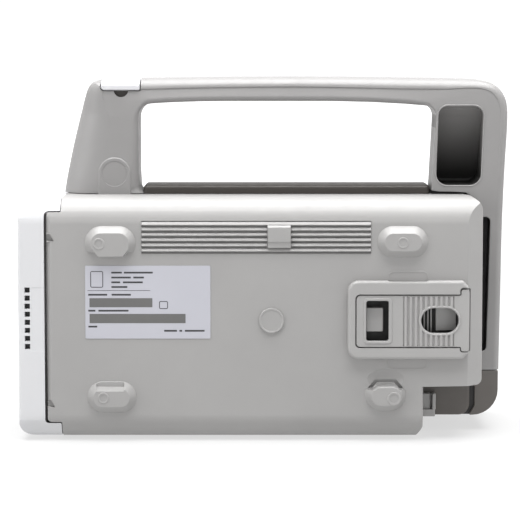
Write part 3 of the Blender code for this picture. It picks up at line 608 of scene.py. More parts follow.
# thin raised outlines above and below the latch frame
for name, z0, z1 in (("latch_outline_upper", 62.0, 68.7), ("latch_outline_lower", 28.4, 36.0)):
    outline = rect(149.6, 166.1, z0, z1, 2.6, 6)
    inner = offset(outline, 0.55)
    ridge = solid(name, outline, "X", 39.2, 39.68, r_hi=0.16, n=2)
    cut(ridge, solid("cutter", inner, "X", 38.0, 41.0))
    finish(ridge, name, SHELL)

# ------------------------------------------------------------------ socket-side shell
Y_REAR = 188.2
far = solid("far", fillet([(-43.0, 0.0, 9.5), (13.7, 0.0, 0), (13.7, Z_TOP, 0), (-43.0, Z_TOP, 7.0)], 10), "Y", 11.4, 195.0, r_lo=0.8)
keep(
    far,
    solid("cutter", fillet([(17.3, 102.0, 0), (17.3, 92.35, 0.5), (11.3, 92.35, 1.4), (11.3, 6.8, 2.0), (17.3, 6.8, 0.5), (17.3, -4.0, 0), (22.0, -4.0, 0), (26.0, 0.0, 0), (182.7, 0.0, 1.5), (Y_REAR, 5.5, 1.5), (Y_REAR, 92.5, 1.5), (182.7, Z_TOP, 1.5), (30.0, Z_TOP, 0), (24.0, 102.0, 0)], 5), "X", -50.0, 20.0),
    solid("cutter", fillet([(-50.0, 8.0, 0), (20.0, 8.0, 0), (20.0, Y_REAR, 0), (-37.5, Y_REAR, 1.5), (-43.0, 182.7, 1.5), (-43.0, 100.0, 0), (-50.0, 100.0, 0)], 5), "Z", -10.0, 110.0),
)
cut(
    far,
    solid("cutter", fillet([(-40.8, 2.2, 7.3), (20.0, 2.2, 0), (20.0, 95.8, 0), (-40.8, 95.8, 4.8)], 6), "Y", 5.0, 183.0),
    solid("cutter", rect(-38.7, 60.0, -20.0, 24.7, 2.0, 4), "Y", 160.0, 200.0),
    block((-60, 164.2, -20), (60, 200, 5.0)),
    pit(rect(25.5, 150.5, 27.5, 82.5, 5.0, 8), "X", -30.0, -43.0, 0.7),
)
cut(far, *[pit(rect(-37.0, -17.0, 44.0 + 8.0 * k, 46.2 + 8.0 * k, 1.0, 4), "Y", 180.0, Y_REAR, 0.35, n=3) for k in range(5)])
for y, z in ((22.0, 12.0), (40.0, 88.0), (176.0, 33.2), (172.0, 88.0)):
    tower = solid("tower", circle(y, z, 5.2, 28), "X", -41.4, -2.0)
    add(far, tower)
    cut(far, pit(circle(y, z, 3.5, 28), "X", -8.0, -43.0, 0.5), solid("cutter", circle(y, z, 1.9, 16), "X", -20.0, 0.0))
finish(far, "socket_side_shell", SHELL, nodes=("socket_side_housing",))

# seals in the seam: soft half-round strips
for node, x0, x1 in (("bezel_seal_docking_side", 37.5, 38.9), ("bezel_seal_socket_side", -42.4, -41.0)):
    seal = solid(node, fillet([(x0, 10.74, 0.1), (x1, 10.74, 0.19), (x1, 11.16, 0.19), (x0, 11.16, 0.1)], 4), "Z", 7.0, 91.8, 0.15, 0.15)
    finish(seal, node + "_lip", SEAL, nodes=(node,))

# ------------------------------------------------------------------------------ bezel
DEPTH, SIDE = 17.0, 10.45
bezel = solid("bezel", fillet([(-43.0, 0.0, 9.5), (X_FACE, 0.0, R_BASE), (X_FACE, Z_TOP, R_TOP), (-43.0, Z_TOP, 7.0)], 12), "Y", -1.0, DEPTH)
keep(
    bezel,
    solid("cutter", fillet([(-0.2, 0.5, 6.2), (DEPTH, 0.5, 0.4), (DEPTH, 6.3, 0.4), (SIDE, 6.3, 1.5), (SIDE, 92.85, 1.9), (DEPTH, 92.85, 0.4), (DEPTH, 97.6, 0.4), (-0.2, 97.6, 6.6)], 8), "X", -60.0, 60.0),
    solid("cutter", fillet([(-43.0, -0.2, 1.2), (X_FACE, -0.2, 1.2), (X_FACE, 30.0, 0), (-43.0, 30.0, 0)], 8), "Z", -20.0, 120.0),
)
cut(
    bezel,
    solid("cutter", fillet([(-40.8, 2.8, 6.5), (37.3, 2.8, 7.0), (37.3, 95.4, 7.5), (-40.8, 95.4, 5.0)], 6), "Y", 2.4, 30.0),
    pit(rect(-37.3, 33.8, 36.5, 89.8, 1.4, 5), "Y", 6.0, -0.2, 1.1),
)
KEY_X = (-27.7, -10.4, 6.9, 24.2)
KEY_NAMES = ("key_standby", "key_silence", "key_alarm_pause", "key_main_screen")
LED_X = (-31.0, -24.0, -17.0)
cut(bezel, *[pit(rect(x - 6.8, x + 6.8, 9.8, 19.4, 2.2, 5), "Y", 8.0, -0.2, 0.45, n=3) for x in KEY_X])
cut(bezel, *[pit(rect(x - 1.8, x + 1.8, 26.9, 29.1, 0.6, 3), "Y", 8.0, -0.2, 0.25, n=3) for x in LED_X])
cut(bezel, *[pit(rect(2.45, 4.6, 37.8 + 3.29 * k - 1.07, 37.8 + 3.29 * k + 1.07, 0.12, 2), "X", 33.0, X_FACE, 0.1, n=2) for k in range(8)])
# a shallow flat beside the vents
cut(bezel, pit(rect(5.3, 10.2, 36.0, 61.9, 0.2, 2), "X", X_FACE - 0.09, X_FACE, 0.05, n=1))
finish(bezel, "front_bezel_shell", BEZEL, nodes=("front_bezel",))

# fine dark cloth behind the side vents
cloth = solid("cloth", rect(2.5, 9.2, 36.2, 62.4, 0.5, 3), "X", 36.3, 37.0, r_hi=0.1, n=2)
finish(cloth, "vent_cloth", BLACK_AND_PAINTED_SHADE)

# ----------------------------------------------------------------------------- handle
def smooth(points, step=0.4):
    """A smooth line through its points, with points a step apart."""
    pts = [Vector(p) for p in points]
    pts = [pts[0] * 2 - pts[1]] + pts + [pts[-1] * 2 - pts[-2]]
    out = []
    for i in range(1, len(pts) - 2):
        p0, p1, p2, p3 = pts[i - 1], pts[i], pts[i + 1], pts[i + 2]
        t01, t12, t23 = ((b - a).length ** 0.5 for a, b in ((p0, p1), (p1, p2), (p2, p3)))
        m1 = (p2 - p1) + t12 * ((p1 - p0) / t01 - (p2 - p0) / (t01 + t12))
        m2 = (p2 - p1) + t12 * ((p3 - p2) / t23 - (p3 - p1) / (t12 + t23))
        count = max(2, int((p2 - p1).length / step))
        for k in range(count):
            t = k / count
            out.append((2 * t ** 3 - 3 * t ** 2 + 1) * p1 + (t ** 3 - 2 * t ** 2 + t) * m1 + (-2 * t ** 3 + 3 * t ** 2) * p2 + (t ** 3 - t ** 2) * m2)
    out.append(pts[-2])
    return out


def dense(line, step=0.4):
    out = [Vector(line[0])]
    for a, b in zip(line, line[1:]):
        a, b = Vector(a), Vector(b)
        count = max(1, int((b - a).length / step))
        out += [a.lerp(b, (k + 1) / count) for k in range(count)]
    return out


def open_path(corners, n=8):
    return fillet([(*corners[0][:2], 0)] + list(corners[1:-1]) + [(*corners[-1][:2], 0)], n)


outer = smooth([
    (15.95, 98.35), (17.0, 104.7), (18.4, 111.5), (19.85, 118.2), (21.5, 125.0), (23.2, 131.65), (24.75, 137.5), (25.9, 141.0),
    (27.0, 143.0), (28.9, 144.5), (32.0, 145.25), (37.0, 145.6), (48.0, 145.9), (62.0, 146.15), (85.0, 146.42), (112.0, 146.5),
    (138.0, 146.4), (160.0, 146.1), (176.0, 145.8), (186.0, 145.45), (190.6, 144.9), (194.4, 143.7), (197.2, 141.7), (199.2, 138.9),
    (200.3, 135.6), (200.65, 131.5), (200.55, 126.0), (200.25, 119.9), (199.8, 112.0), (199.35, 102.0), (198.9, 90.0), (198.6, 77.0),
    (198.4, 62.0), (198.2, 48.0), (198.0, 35.0), (197.85, 24.5),
])


def grip(y):
    return 136.55 - 1.02 * (max(0.0, abs(y - 104.0) - 20.0) / 32.0) ** 2


inner = dense(open_path([
    (50.0, 98.35), (48.0, 100.4, 2.2), (47.55, 108.0, 6.0), (47.5, grip(47.5), 5.6), *[(y, grip(y), 0) for y in (60.0, 72.0, 84.0, 98.0, 112.0, 128.0, 144.0, 158.0)],
    (171.0, grip(171.0), 4.6), (169.4, 103.0, 0.8), (168.9, 99.15, 0.8), (183.0, 99.15, 0.5), (189.15, 93.0, 0.5), (189.15, 24.5),
], 8))
STATIONS = [
    ((15.95, 98.35), (50.0, 98.35)),
    ((16.6, 102.3), (47.95, 101.4)),
    ((19.3, 115.5), (47.6, 112.0)),
    ((23.4, 132.2), (47.5, 128.5)),
    ((25.6, 140.0), (47.7, 132.2)),
    ((28.5, 144.2), (48.6, 134.4)),
    ((40.0, 145.7), (50.6, 136.2)),
    ((53.0, 146.0), (55.0, grip(55.0))),
    ((62.0, 146.15), (62.0, grip(62.0))),
    ((112.0, 146.5), (112.0, grip(112.0))),
    ((158.0, 146.1), (158.0, grip(158.0))),
    ((178.0, 145.7), (165.5, grip(165.5))),
    ((192.0, 144.5), (169.2, 135.6)),
    ((199.5, 138.2), (170.6, 132.6)),
    ((200.5, 125.0), (170.25, 122.0)),
    ((199.5, 105.5), (169.5, 104.2)),
    ((199.2, 100.2), (168.95, 99.4)),
    ((199.1, 96.7), (182.3, 99.15)),
    ((198.95, 91.8), (189.1, 93.2)),
    ((198.3, 70.0), (189.15, 70.0)),
    ((197.85, 24.5), (189.15, 24.5)),
]
COUNTS = [4, 7, 8, 5, 4, 5, 5, 4, 14, 12, 7, 6, 5, 6, 6, 3, 4, 3, 6, 12]
# how each station's edges are rounded: outer depth, outer width, crease, tilt, inner rounding
SHAPE = [
    (14.5, 12.0, 0.0, 0.0, 4.6), (14.5, 12.0, 0.0, 0.0, 4.4), (14.3, 12.0, 0.0, 0.0, 3.6), (12.0, 11.2, 0.0, 0.0, 2.6),
    (8.0, 8.8, 0.1, 0.4, 1.6), (4.7, 7.0, 0.3, 0.6, 1.5), (4.3, 7.0, 0.36, 0.65, 1.9), (4.3, 7.2, 0.36, 0.65, 2.0),
    (4.15, 7.5, 0.36, 0.65, 2.0), (3.85, 7.5, 0.36, 0.65, 2.0), (4.35, 7.2, 0.36, 0.65, 2.0), (4.2, 6.4, 0.36, 0.6, 1.7),
    (3.9, 5.0, 0.32, 0.35, 1.0), (3.3, 3.9, 0.24, 0.1, 0.6), (2.8, 3.4, 0.12, 0.0, 0.6), (2.6, 3.2, 0.05, 0.0, 0.6),
    (2.6, 3.2, 0.03, 0.0, 0.6), (2.6, 3.2, 0.02, 0.0, 0.6), (2.6, 3.2, 0.0, 0.0, 0.7), (2.6, 3.2, 0.0, 0.0, 0.7), (2.6, 3.2, 0.0, 0.0, 0.7),
]


def nearest(line, point):
    p = Vector(point)
    return min(range(len(line)), key=lambda i: (line[i] - p).length_squared)


def slope(line, i, d):
    a, b = line[max(0, i - 3)], line[min(len(line) - 1, i + 3)]
    t = (b - a).normalized()
    return max(0.42, abs(d.x * t.y - d.y * t.x))


def section_points(P, Q, cos_p, cos_q, a, b, crease, tilt, c):
    d = Q - P
    w = d.length
    d = d / w
    a = min(a / cos_p, w * 0.5)
    c_in = min(c / cos_q, w * 0.26)
    half = []
    for i in range(13):
        t = math.pi / 2 * i / 12
        half.append((a * (1 - math.cos(t)), 12.0 - tilt - b + b * math.sin(t)))
    half.append((a + 0.10, 12.0 - tilt - crease * 0.6))
    half.append((a + 0.34, 12.0 - tilt - crease))
    half.append((a + 0.85, 12.0 - tilt - crease * 0.55))
    start = a + 0.85
    span = w - c_in
    for i in range(1, 7):
        f = i / 7
        half.append((start + (span - start) * f, 12.0 - tilt * (1 - f) - crease * 0.55 * (1 - f)))
    for i in range(8):
        t = math.pi / 2 * i / 7
        half.append((w - c_in + c_in * math.sin(t), 12.0 - c + c * math.cos(t)))
    ring_points = []
    for t, x in half:
        p = P + d * t
        ring_points.append((x, p.x, p.y))
    for t, x in reversed(half):
        p = P + d * t
        ring_points.append((-x, p.x, p.y))
    return ring_points


rings = []
for k in range(len(STATIONS) - 1):
    o0, o1 = nearest(outer, STATIONS[k][0]), nearest(outer, STATIONS[k + 1][0])
    i0, i1 = nearest(inner, STATIONS[k][1]), nearest(inner, STATIONS[k + 1][1])
    for j in range(COUNTS[k] + (1 if k == len(STATIONS) - 2 else 0)):
        f = j / COUNTS[k]
        io, ii = round(o0 + (o1 - o0) * f), round(i0 + (i1 - i0) * f)
        P, Q = outer[io], inner[ii]
        d = (Q - P).normalized()
        rings.append(section_points(P, Q, slope(outer, io, d), slope(inner, ii, d), *[u + (v - u) * f for u, v in zip(SHAPE[k], SHAPE[k + 1])]))
handle = loft("handle", rings)

# pocket in the rear leg with a sloping floor, and a thin raised lip round its mouth
POCKET = fillet([(170.9, 101.8, 4.6), (189.3, 101.8, 4.6), (190.5, 134.5, 4.0), (171.9, 134.5, 4.0)], 8)
lip = solid("lip", offset(POCKET, -0.7), "X", 11.0, 12.2, r_hi=0.3, n=3)
add(handle, lip)
pocket = pit(POCKET, "X", -10.0, 12.2, 0.35, r_floor=1.5)
cut(pocket, solid("cutter", [(5.0, 140.0), (5.0, 133.0), (1.0, 128.0), (-10.2, 103.0), (-12.0, 96.0), (-30.0, 96.0), (-30.0, 140.0)], "Y", 160.0, 200.0))
cut(handle, pocket)
# slot beside the housing's rear wall
cut(handle, pit(fillet([(180.0, 32.3, 2.0), (192.3, 32.3, 2.0), (192.95, 62.0, 0), (193.6, 88.5, 2.0), (180.0, 88.5, 2.0)], 6), "X", 2.0, 12.0, 0.35))
# the arch that covers the front screw tower
arch = fillet([(30.8, 97.0, 0), (44.2, 97.0, 0), (44.2, 113.2, 6.65), (30.8, 113.2, 6.65)], 12)
raised = loft("arch", [lift("X", offset(arch, i), x) for x, i in ((10.0, -0.1), (12.0, -0.1), (12.12, 0.05), (12.36, 0.35), (12.38, 0.7), (12.3, 1.1))])
add(handle, raised)
cut(handle, pit(circle(37.5, 106.5, 5.2, 44), "X", 12.08, 12.3, 0.2, n=3))
# the seat of the alarm lamp cap and the pry notch under it
NOTCH = fillet([(37.3, 138.2, 2.9), (43.3, 138.2, 2.9), (43.3, 146.0, 0), (37.3, 146.0, 0)], 8)
SEAT = fillet([(31.6, 160.0, 0), (31.6, 141.6, 0.2), (32.6, 140.7, 0.3), (48.5, 140.7, 0.2), (48.5, 160.0, 0)], 3)
cut(
    handle,
    solid("cutter", SEAT, "X", -30.0, -9.6),
    solid("cutter", SEAT, "X", 9.6, 30.0),
    solid("cutter", rect(31.6, 48.5, 142.8, 160.0), "X", -30.0, 30.0),
    pit(NOTCH, "X", 9.9, 12.0, 0.2, n=3),
)
cut(handle, block((-30, 50.9, 90), (30, 168.6, 99.15)))
finish(handle, "carry_handle", HANDLE, nodes=("handle",), angle=26)

# painted shade: the inside of the pocket, the slot and the notch floor are coloured darker to stand in for the shade in
# them; the pocket's colour darkens towards its bottom, the slot takes the black and the notch the dark strip colour
POCKET_PAINTED_SHADE, tree, shader = nodes_of("handle_pocket_painted_shade")
coords = tree.nodes.new("ShaderNodeTexCoord").outputs["Object"]
parts_xyz = tree.nodes.new("ShaderNodeSeparateXYZ")
tree.links.new(coords, parts_xyz.inputs["Vector"])
# painted shade that deepens towards the bottom of the pocket
depth_shade = spread(tree, parts_xyz.outputs["Z"], 0.0, 1.0, 0.106, 0.134)
mottled = tree.nodes.new("ShaderNodeMath")
mottled.operation = "MULTIPLY_ADD"
tree.links.new(noise(tree, coords, 60.0, 3.0), mottled.inputs[0])
mottled.inputs[1].default_value = 0.12
tree.links.new(depth_shade, mottled.inputs[2])
tree.links.new(blend_colour(tree, mottled.outputs[0], (0.004, 0.0035, 0.003), (0.21, 0.205, 0.20)), shader.inputs["Base Color"])
tree.links.new(spread(tree, noise(tree, coords, 240.0, 3.0), 0.5, 0.65), shader.inputs["Roughness"])
handle.data.materials.append(POCKET_PAINTED_SHADE)
handle.data.materials.append(BLACK_AND_PAINTED_SHADE)
handle.data.materials.append(PAINTED_SHADE_STRIP)
# faces inside the pocket, slot and notch get the painted-shade materials
for poly in handle.data.polygons:
    c = poly.center / MM
    y = c.y + Y_MID
    if 170.5 < y < 191.0 and 101.4 < c.z < 135.0 and -11.0 < c.x < 11.7:
        poly.material_index = 1
    elif 179.9 < y < 193.95 and 32.2 < c.z < 88.6 and 1.9 < c.x < 11.7:
        poly.material_index = 2
    elif 37.2 < y < 43.4 and 138.0 < c.z < 141.0 and 9.8 < c.x < 10.75:
        poly.material_index = 3

# the strip on the housing under the hand opening; its near-black colour is painted shade for the shadow under the grip
strip = solid("strip", rect(-10.6, 10.6, 49.4, 168.5, 1.7, 5), "Z", 98.1, 101.8, r_hi=1.6, n=5)
finish(strip, "grip_base_strip", PAINTED_SHADE_STRIP, nodes=("handle_base_strip",))

# the alarm lamp cap
low = 141.05
loop = fillet([(32.0, low + 0.85, 0.6), (33.0, low, 0.7), (48.1, low, 0.7), (48.1, 145.75, 0.7), (32.0, 145.15, 0.7)], 5)
cap = loft("cap", [lift("X", offset(loop, i), x) for x, i in ((-12.0, 0.45), (-11.85, 0.2), (-11.5, 0.0), (11.5, 0.0), (11.85, 0.2), (12.0, 0.45))])
keep(cap, solid("cutter", fillet([(-12.2, low - 1, 0), (12.2, low - 1, 0), (12.2, 145.7, 4.2), (-12.2, 145.7, 4.2)], 10), "Y", 20.0, 60.0))
cut(cap, block((-9.75, 20, 120), (9.75, 60, 142.95)))
finish(cap, "alarm_lamp_cap", LENS, nodes=("alarm_lamp_lens",))

# a dark strip fills the gap between the rear leg and the housing; its dark seal colour is painted shade for the shadow
# in that gap
gap_shade_fill = solid("gap_shade_fill", [(169.2, 98.03), (182.9, 98.03), (188.5, 92.5), (188.5, 86.0), (189.1, 86.0), (189.1, 92.9), (182.95, 99.1), (169.2, 99.1)], "X", -9.4, 9.4)
finish(gap_shade_fill, "leg_gap_shade_fill", SEAL)

# ------------------------------------------------------------------------------ latch
FRAME = fillet([(133.3, 33.0, 4.4), (179.6, 33.0, 1.6), (182.2, 35.4, 1.4), (182.45, 62.3, 1.4), (179.9, 64.9, 1.6), (133.3, 64.9, 4.4)], 7)
SLIDER = fillet([(136.8, 38.0, 1.6), (179.1, 38.0, 0.3), (179.1, 36.2, 0.8), (182.5, 36.2, 1.0), (182.5, 61.3, 1.0), (179.1, 61.3, 0.8), (179.1, 58.95, 0.3), (136.8, 58.95, 1.6)], 5)
latch = solid("latch", FRAME, "X", 39.3, 43.0, r_hi=1.25, n=5)
add(latch, solid("tray", rect(135.4, 180.6, 35.5, 62.3, 1.8, 4), "X", 33.1, 39.8))
cut(
    latch,
    pit(fillet([(136.35, 37.55, 1.9), (178.7, 37.55, 0), (178.7, 35.8, 1.1), (184.5, 35.8, 0), (184.5, 62.2, 0), (178.7, 62.2, 1.3), (178.7, 59.4, 0), (136.35, 59.4, 1.9)], 5), "X", 40.0, 43.0, 0.1, n=2),
    solid("cutter", rect(137.5, 178.5, 38.7, 59.1, 1.2, 4), "X", 33.9, 41.0),
    solid("cutter", fillet([(147.0, 68.0, 0), (150.0, 64.45, 1.0), (165.4, 64.45, 1.0), (168.4, 68.0, 0)], 4), "X", 30.0, 50.0),
)
tongue = solid("tongue", rect(140.9, 147.8, 43.9, 53.7, 0.6, 3), "X", 33.6, 39.5, r_hi=0.45, n=3)
ramp = solid("ramp", fillet([(33.6, 169.2, 0), (37.6, 169.2, 0.3), (35.9, 177.6, 0.3), (33.6, 177.6, 0)], 3), "Z", 44.2, 53.9)
walls = [solid("wall", rect(y - 0.28, y + 0.28, 40.0, 58.0), "X", 33.6, 36.8) for y in (164.6, 166.1, 167.4)]
add(latch, tongue, ramp, *walls)
finish(latch, "latch_housing", LATCH, nodes=("latch_frame",), angle=30)
# the floor of the latch well is painted black as shade
latch.data.materials.append(BLACK_AND_PAINTED_SHADE)
for poly in latch.data.polygons:
    if 33.4 < poly.center.x / MM < 34.1:
        poly.material_index = 1

slide = solid("slide", SLIDER, "X", 40.25, 42.6, r_hi=0.2, n=3)
cut(slide, block((42.15, 155.7, 38.35), (50.0, 176.35, 58.6)))
waves = [(41.6, 155.72)]
for k in range(10):
    y = 156.75 + 2.06 * k
    waves += [(42.18, y - 1.01), (42.3, y - 0.74), (42.86, y - 0.44), (43.0, y - 0.1), (43.0, y + 0.12), (42.86, y + 0.44), (42.3, y + 0.74)]
waves += [(42.18, 176.33), (41.6, 176.33)]
grips = solid("grips", waves, "Z", 38.37, 58.58)
rim = solid("rim", rect(139.7, 151.3, 39.3, 57.9, 1.5, 5), "X", 42.2, 42.95, r_hi=0.4)
lip = solid("lip", oval(161.9, 179.1, 42.6, 54.8, 12), "X", 42.0, 43.0, r_hi=0.5)
lug = solid("lug", rect(152.0, 154.6, 39.3, 43.7, 0.4, 3), "X", 37.4, 40.6)
add(slide, grips, rim, lip, lug)
cut(
    slide,
    pit(rect(140.8, 149.9, 40.4, 56.8, 0.9, 4), "X", 39.0, 42.95, 0.35),
    pit(oval(163.0, 178.2, 43.6, 53.8, 12), "X", 39.0, 43.0, 0.5),
)
finish(slide, "latch_thumb_slider", LATCH, body="latch", nodes=("latch_slider",), angle=34)


def coil(name, node, centre, y0, y1, radius, wire, turns, per_turn=28, sides=10):
    """A wound compression spring with closed ends, as one tube."""
    steps = turns * per_turn
    rings = []
    for i in range(steps + 1):
        f = i / steps
        t = 2 * math.pi * i / per_turn
        closed = 0.5 - 0.5 * math.cos(math.pi * min(1.0, max(0.0, (f - 0.05) / 0.9)))
        f = 0.35 * closed + 0.65 * f
        y = y0 + wire + (y1 - y0 - 2 * wire) * f
        c = Vector((centre[0] + radius * math.cos(t), y, centre[1] + radius * math.sin(t)))
        out_way = Vector((math.cos(t), 0, math.sin(t)))
        along = Vector((0, 1, 0))
        ring_points = []
        for k in range(sides):
            s = 2 * math.pi * k / sides
            ring_points.append(tuple(c + out_way * wire * math.cos(s) + along * wire * math.sin(s)))
        rings.append(ring_points)
    piece = loft(name, rings)
    finish(piece, name, SPRING, nodes=(node,), angle=60)
    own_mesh(piece)


coil("latch_return_spring", "latch_spring", (36.6, 41.3), 155.4, 177.9, 1.3, 0.22, 9)
coil("eject_return_spring", "eject_spring", (14.1, 11.0), 135.8, 145.5, 1.1, 0.18, 6)

# ------------------------------------------------------------------------------ label
LABEL = moulded("label_foil_satin", (0.43, 0.432, 0.475), 0.36, grain=900.0, depth=0.000012, vary=0.02)
INK = moulded("label_ink_matt", (0.035, 0.035, 0.038), 0.6, vary=0.05)
TONE = moulded("label_tone_matt", (0.115, 0.114, 0.112), 0.6, vary=0.05)
plate = solid("label", rect(27.1, 77.8, 41.1, 70.8, 0.4, 3), "X", 39.44, 39.74, r_hi=0.06, n=2)
finish(plate, "rating_plate", LABEL, nodes=("rating_label",))


def bar(y0, y1, z0, z1):
    return solid("bar", rect(y0, y1, z0, z1, 0.12, 2), "X", 39.72, 39.765)


bars = []
for z, runs in (
    (68.0, ((37.7, 42.0), (42.8, 54.5))),
    (66.0, ((37.7, 45.6), (46.6, 50.9))),
    (64.05, ((37.7, 41.3), (42.4, 50.4))),
    (62.15, ((37.7, 44.2),)),
    (59.0, ((28.3, 36.0), (37.8, 45.6))),
    (52.5, ((28.3, 31.2), (32.4, 44.6))),
    (46.0, ((28.3, 31.9),)),
    (44.3, ((59.0, 64.2), (65.2, 66.3), (67.4, 75.4))),
):
    bars += [bar(y0, y1, z - 0.36, z + 0.36) for y0, y1 in runs]
bars.append(bar(28.0, 53.5, 60.6, 60.78))
ink = bars[0]
join(ink, *bars[1:])
# plain outlined boxes
for y0, y1, z0, z1 in ((29.2, 34.4, 61.9, 68.6), (57.0, 60.6, 53.2, 56.4)):
    box_line = solid("box", rect(y0, y1, z0, z1, 0.6, 3), "X", 39.72, 39.765)
    cut(box_line, solid("cutter", rect(y0 + 0.32, y1 - 0.32, z0 + 0.32, z1 - 0.32, 0.3, 3), "X", 39.0, 41.0))
    join(ink, box_line)
finish(ink, "rating_plate_print", INK)
fields = bar(28.8, 54.3, 53.9, 57.6)
join(fields, bar(28.8, 67.7, 47.4, 51.2))
finish(fields, "rating_plate_fields", TONE)

# ---------------------------------------------------------------- battery and release
body_shape = fillet([(112.0, 5.4, 2.4), (185.6, 5.4, 4.6), (185.6, 24.2, 1.9), (112.0, 24.2, 2.4)], 6)
pack = solid("pack", body_shape, "X", -38.0, 12.0, r_lo=1.5, r_hi=0.9, n=5)
neck = solid("neck", rect(178.0, 190.0, 5.5, 23.9, 0.4, 4), "X", -36.2, 10.2)
end_cap = solid("cap", fillet([(185.2, 5.4, 0.4), (197.4, 5.4, 10.6), (197.4, 24.2, 0.4), (187.6, 24.2, 0.9), (187.6, 9.4, 3.2), (186.0, 6.6, 0.6)], 8), "X", -38.0, 12.0, r_lo=0.35, r_hi=0.35, n=3)
add(pack, neck)
add(pack, end_cap)
cut(pack, pit(rect(-30.0, 4.0, 8.8, 20.8, 2.5, 5), "Y", 195.9, 196.8, 0.3, n=3))
cut(pack, pit(rect(-10.0, 10.0, 7.6, 22.0, 1.0, 4), "Y", 112.6, 112.0, 0.2, n=2))
finish(pack, "battery_pack_case", BATTERY, body="battery", nodes=("battery_pack",), angle=30)
# the faces of the groove between the pack and its end cap are painted black as shade
pack.data.materials.append(BLACK_AND_PAINTED_SHADE)
for poly in pack.data.polygons:
    c = poly.center / MM
    if abs(c.x - 10.2) < 0.15 and 178.0 < c.y + Y_MID < 190.1:
        poly.material_index = 1

lip = solid("lip", rect(169.6, 171.0, 8.4, 15.2, 0.35, 3), "X", 12.5, 17.5, r_hi=0.3, n=3)
foot = solid("foot", rect(165.1, 170.8, 5.5, 8.6, 0.35, 3), "X", 12.6, 16.9, r_hi=0.3, n=3)
shank = solid("shank", rect(146.0, 170.4, 7.4, 14.6, 0.3, 3), "X", 12.4, 13.6, r_hi=0.2, n=2)
hook = solid("hook", rect(146.0, 148.0, 8.0, 14.0, 0.4, 3), "X", 12.6, 15.6, r_hi=0.3, n=3)
step = solid("step", rect(165.2, 168.9, 8.2, 15.0, 0.4, 3), "X", 12.6, 15.6, r_hi=0.35, n=3)
add(lip, foot, shank, hook, step)
finish(lip, "battery_release", EJECT, body="eject_button", nodes=("battery_eject_button",), angle=34)

# ------------------------------------------------------------------- screen and keys
GLASS, tree, shader = nodes_of("touch_glass_clear")
coords = tree.nodes.new("ShaderNodeTexCoord").outputs["Object"]
smudge = noise(tree, coords, 55.0, 4.0)
tree.links.new(spread(tree, smudge, 0.02, 0.026, 0.4, 0.75), shader.inputs["Roughness"])
tree.links.new(blend_colour(tree, spread(tree, smudge, 0.0, 1.0), (0.80, 0.82, 0.83), (0.86, 0.87, 0.88)), shader.inputs["Base Color"])
shader.inputs["Transmission Weight"].default_value = 1.0
shader.inputs["IOR"].default_value = 1.5

SCREEN, tree, shader = nodes_of("display_panel_dark")
coords = tree.nodes.new("ShaderNodeTexCoord").outputs["Object"]
cells = tree.nodes.new("ShaderNodeTexBrick")
cells.inputs["Scale"].default_value = 2600.0
cells.inputs["Color1"].default_value = (0.010, 0.011, 0.013, 1)
cells.inputs["Color2"].default_value = (0.0108, 0.0118, 0.0138, 1)
cells.inputs["Mortar"].default_value = (0.0085, 0.0095, 0.011, 1)
turn_map = tree.nodes.new("ShaderNodeMapping")
turn_map.inputs["Rotation"].default_value = (math.pi / 2, 0.0, 0.0)
tree.links.new(coords, turn_map.inputs["Vector"])
tree.links.new(turn_map.outputs["Vector"], cells.inputs["Vector"])
tree.links.new(cells.outputs["Color"], shader.inputs["Base Color"])
tree.links.new(spread(tree, noise(tree, coords, 120.0, 2.0), 0.30, 0.315), shader.inputs["Roughness"])

glass = solid("glass", rect(-39.2, 35.7, 33.0, 92.0, 1.6, 4), "Y", 2.7, 3.9, r_lo=0.3, r_hi=0.3, n=3)
finish(glass, "touch_screen_glass", GLASS, nodes=("touch_glass",))
panel_lcd = solid("lcd", rect(-38.6, 35.1, 34.0, 91.6, 0.9, 3), "Y", 4.25, 9.0, r_hi=0.4)
finish(panel_lcd, "screen_panel", SCREEN, nodes=("display_panel",))
mask = solid("mask", rect(-38.2, 34.7, 34.4, 91.2, 0.8, 3), "Y", 4.05, 4.3)
cut(mask, pit(rect(-34.6, 31.1, 39.4, 87.0, 0.5, 3), "Y", 5.0, 4.05, 0.05, n=2))
finish(mask, "screen_border", PLUG)

for name, x in zip(KEY_NAMES, KEY_X):
    cap = solid("key", rect(x - 6.35, x + 6.35, 10.25, 18.95, 1.9, 6), "Y", -0.5, 4.3, r_lo=0.7, n=5)
    add(cap, solid("flange", rect(x - 7.5, x + 7.5, 9.1, 20.1, 2.2, 5), "Y", 3.0, 4.1))
    cut(cap, ball((x, -2.05, 14.6), (5.3, 1.9, 3.3), 32, 18))
    finish(cap, name + "_cap", KEYS, body=name, nodes=(name,))

MARK = moulded("key_mark_grey", (0.09, 0.10, 0.12), 0.5)
marks = {
    "key_standby": [turned("mark", [(1.15, -0.4), (1.15, -0.2), (1.5, -0.2), (1.5, -0.4)], "Y", KEY_X[0], 14.6, 28)],
    "key_silence": [turned("mark", [(0.02, -0.4), (0.02, -0.2), (0.75, -0.2), (0.75, -0.4)], "Y", KEY_X[1], 14.6, 24)],
    "key_alarm_pause": [solid("mark", rect(KEY_X[2] + s - 0.32, KEY_X[2] + s + 0.32, 13.3, 15.9, 0.15, 2), "Y", -0.4, -0.2) for s in (-0.75, 0.75)],
    "key_main_screen": [cut(solid("mark", rect(KEY_X[3] - 1.6, KEY_X[3] + 1.6, 13.4, 15.8, 0.3, 2), "Y", -0.4, -0.2), solid("cutter", rect(KEY_X[3] - 1.25, KEY_X[3] + 1.25, 13.75, 15.45, 0.1, 2), "Y", -2.0, 2.0))],
}
for name, bodies in marks.items():
    if len(bodies) > 1:
        join(bodies[0], *bodies[1:])
    finish(bodies[0], name + "_mark", MARK, body=name)

pipe = solid("pipe", rect(-34.0, -14.0, 26.4, 29.6, 0.5, 3), "Y", 3.1, 6.0)
for x in LED_X:
    add(pipe, solid("lens", rect(x - 1.5, x + 1.5, 27.2, 28.8, 0.35, 3), "Y", 0.25, 4.0, r_lo=0.3, n=3))
finish(pipe, "status_lights", PIPE, nodes=("status_light_pipe",))

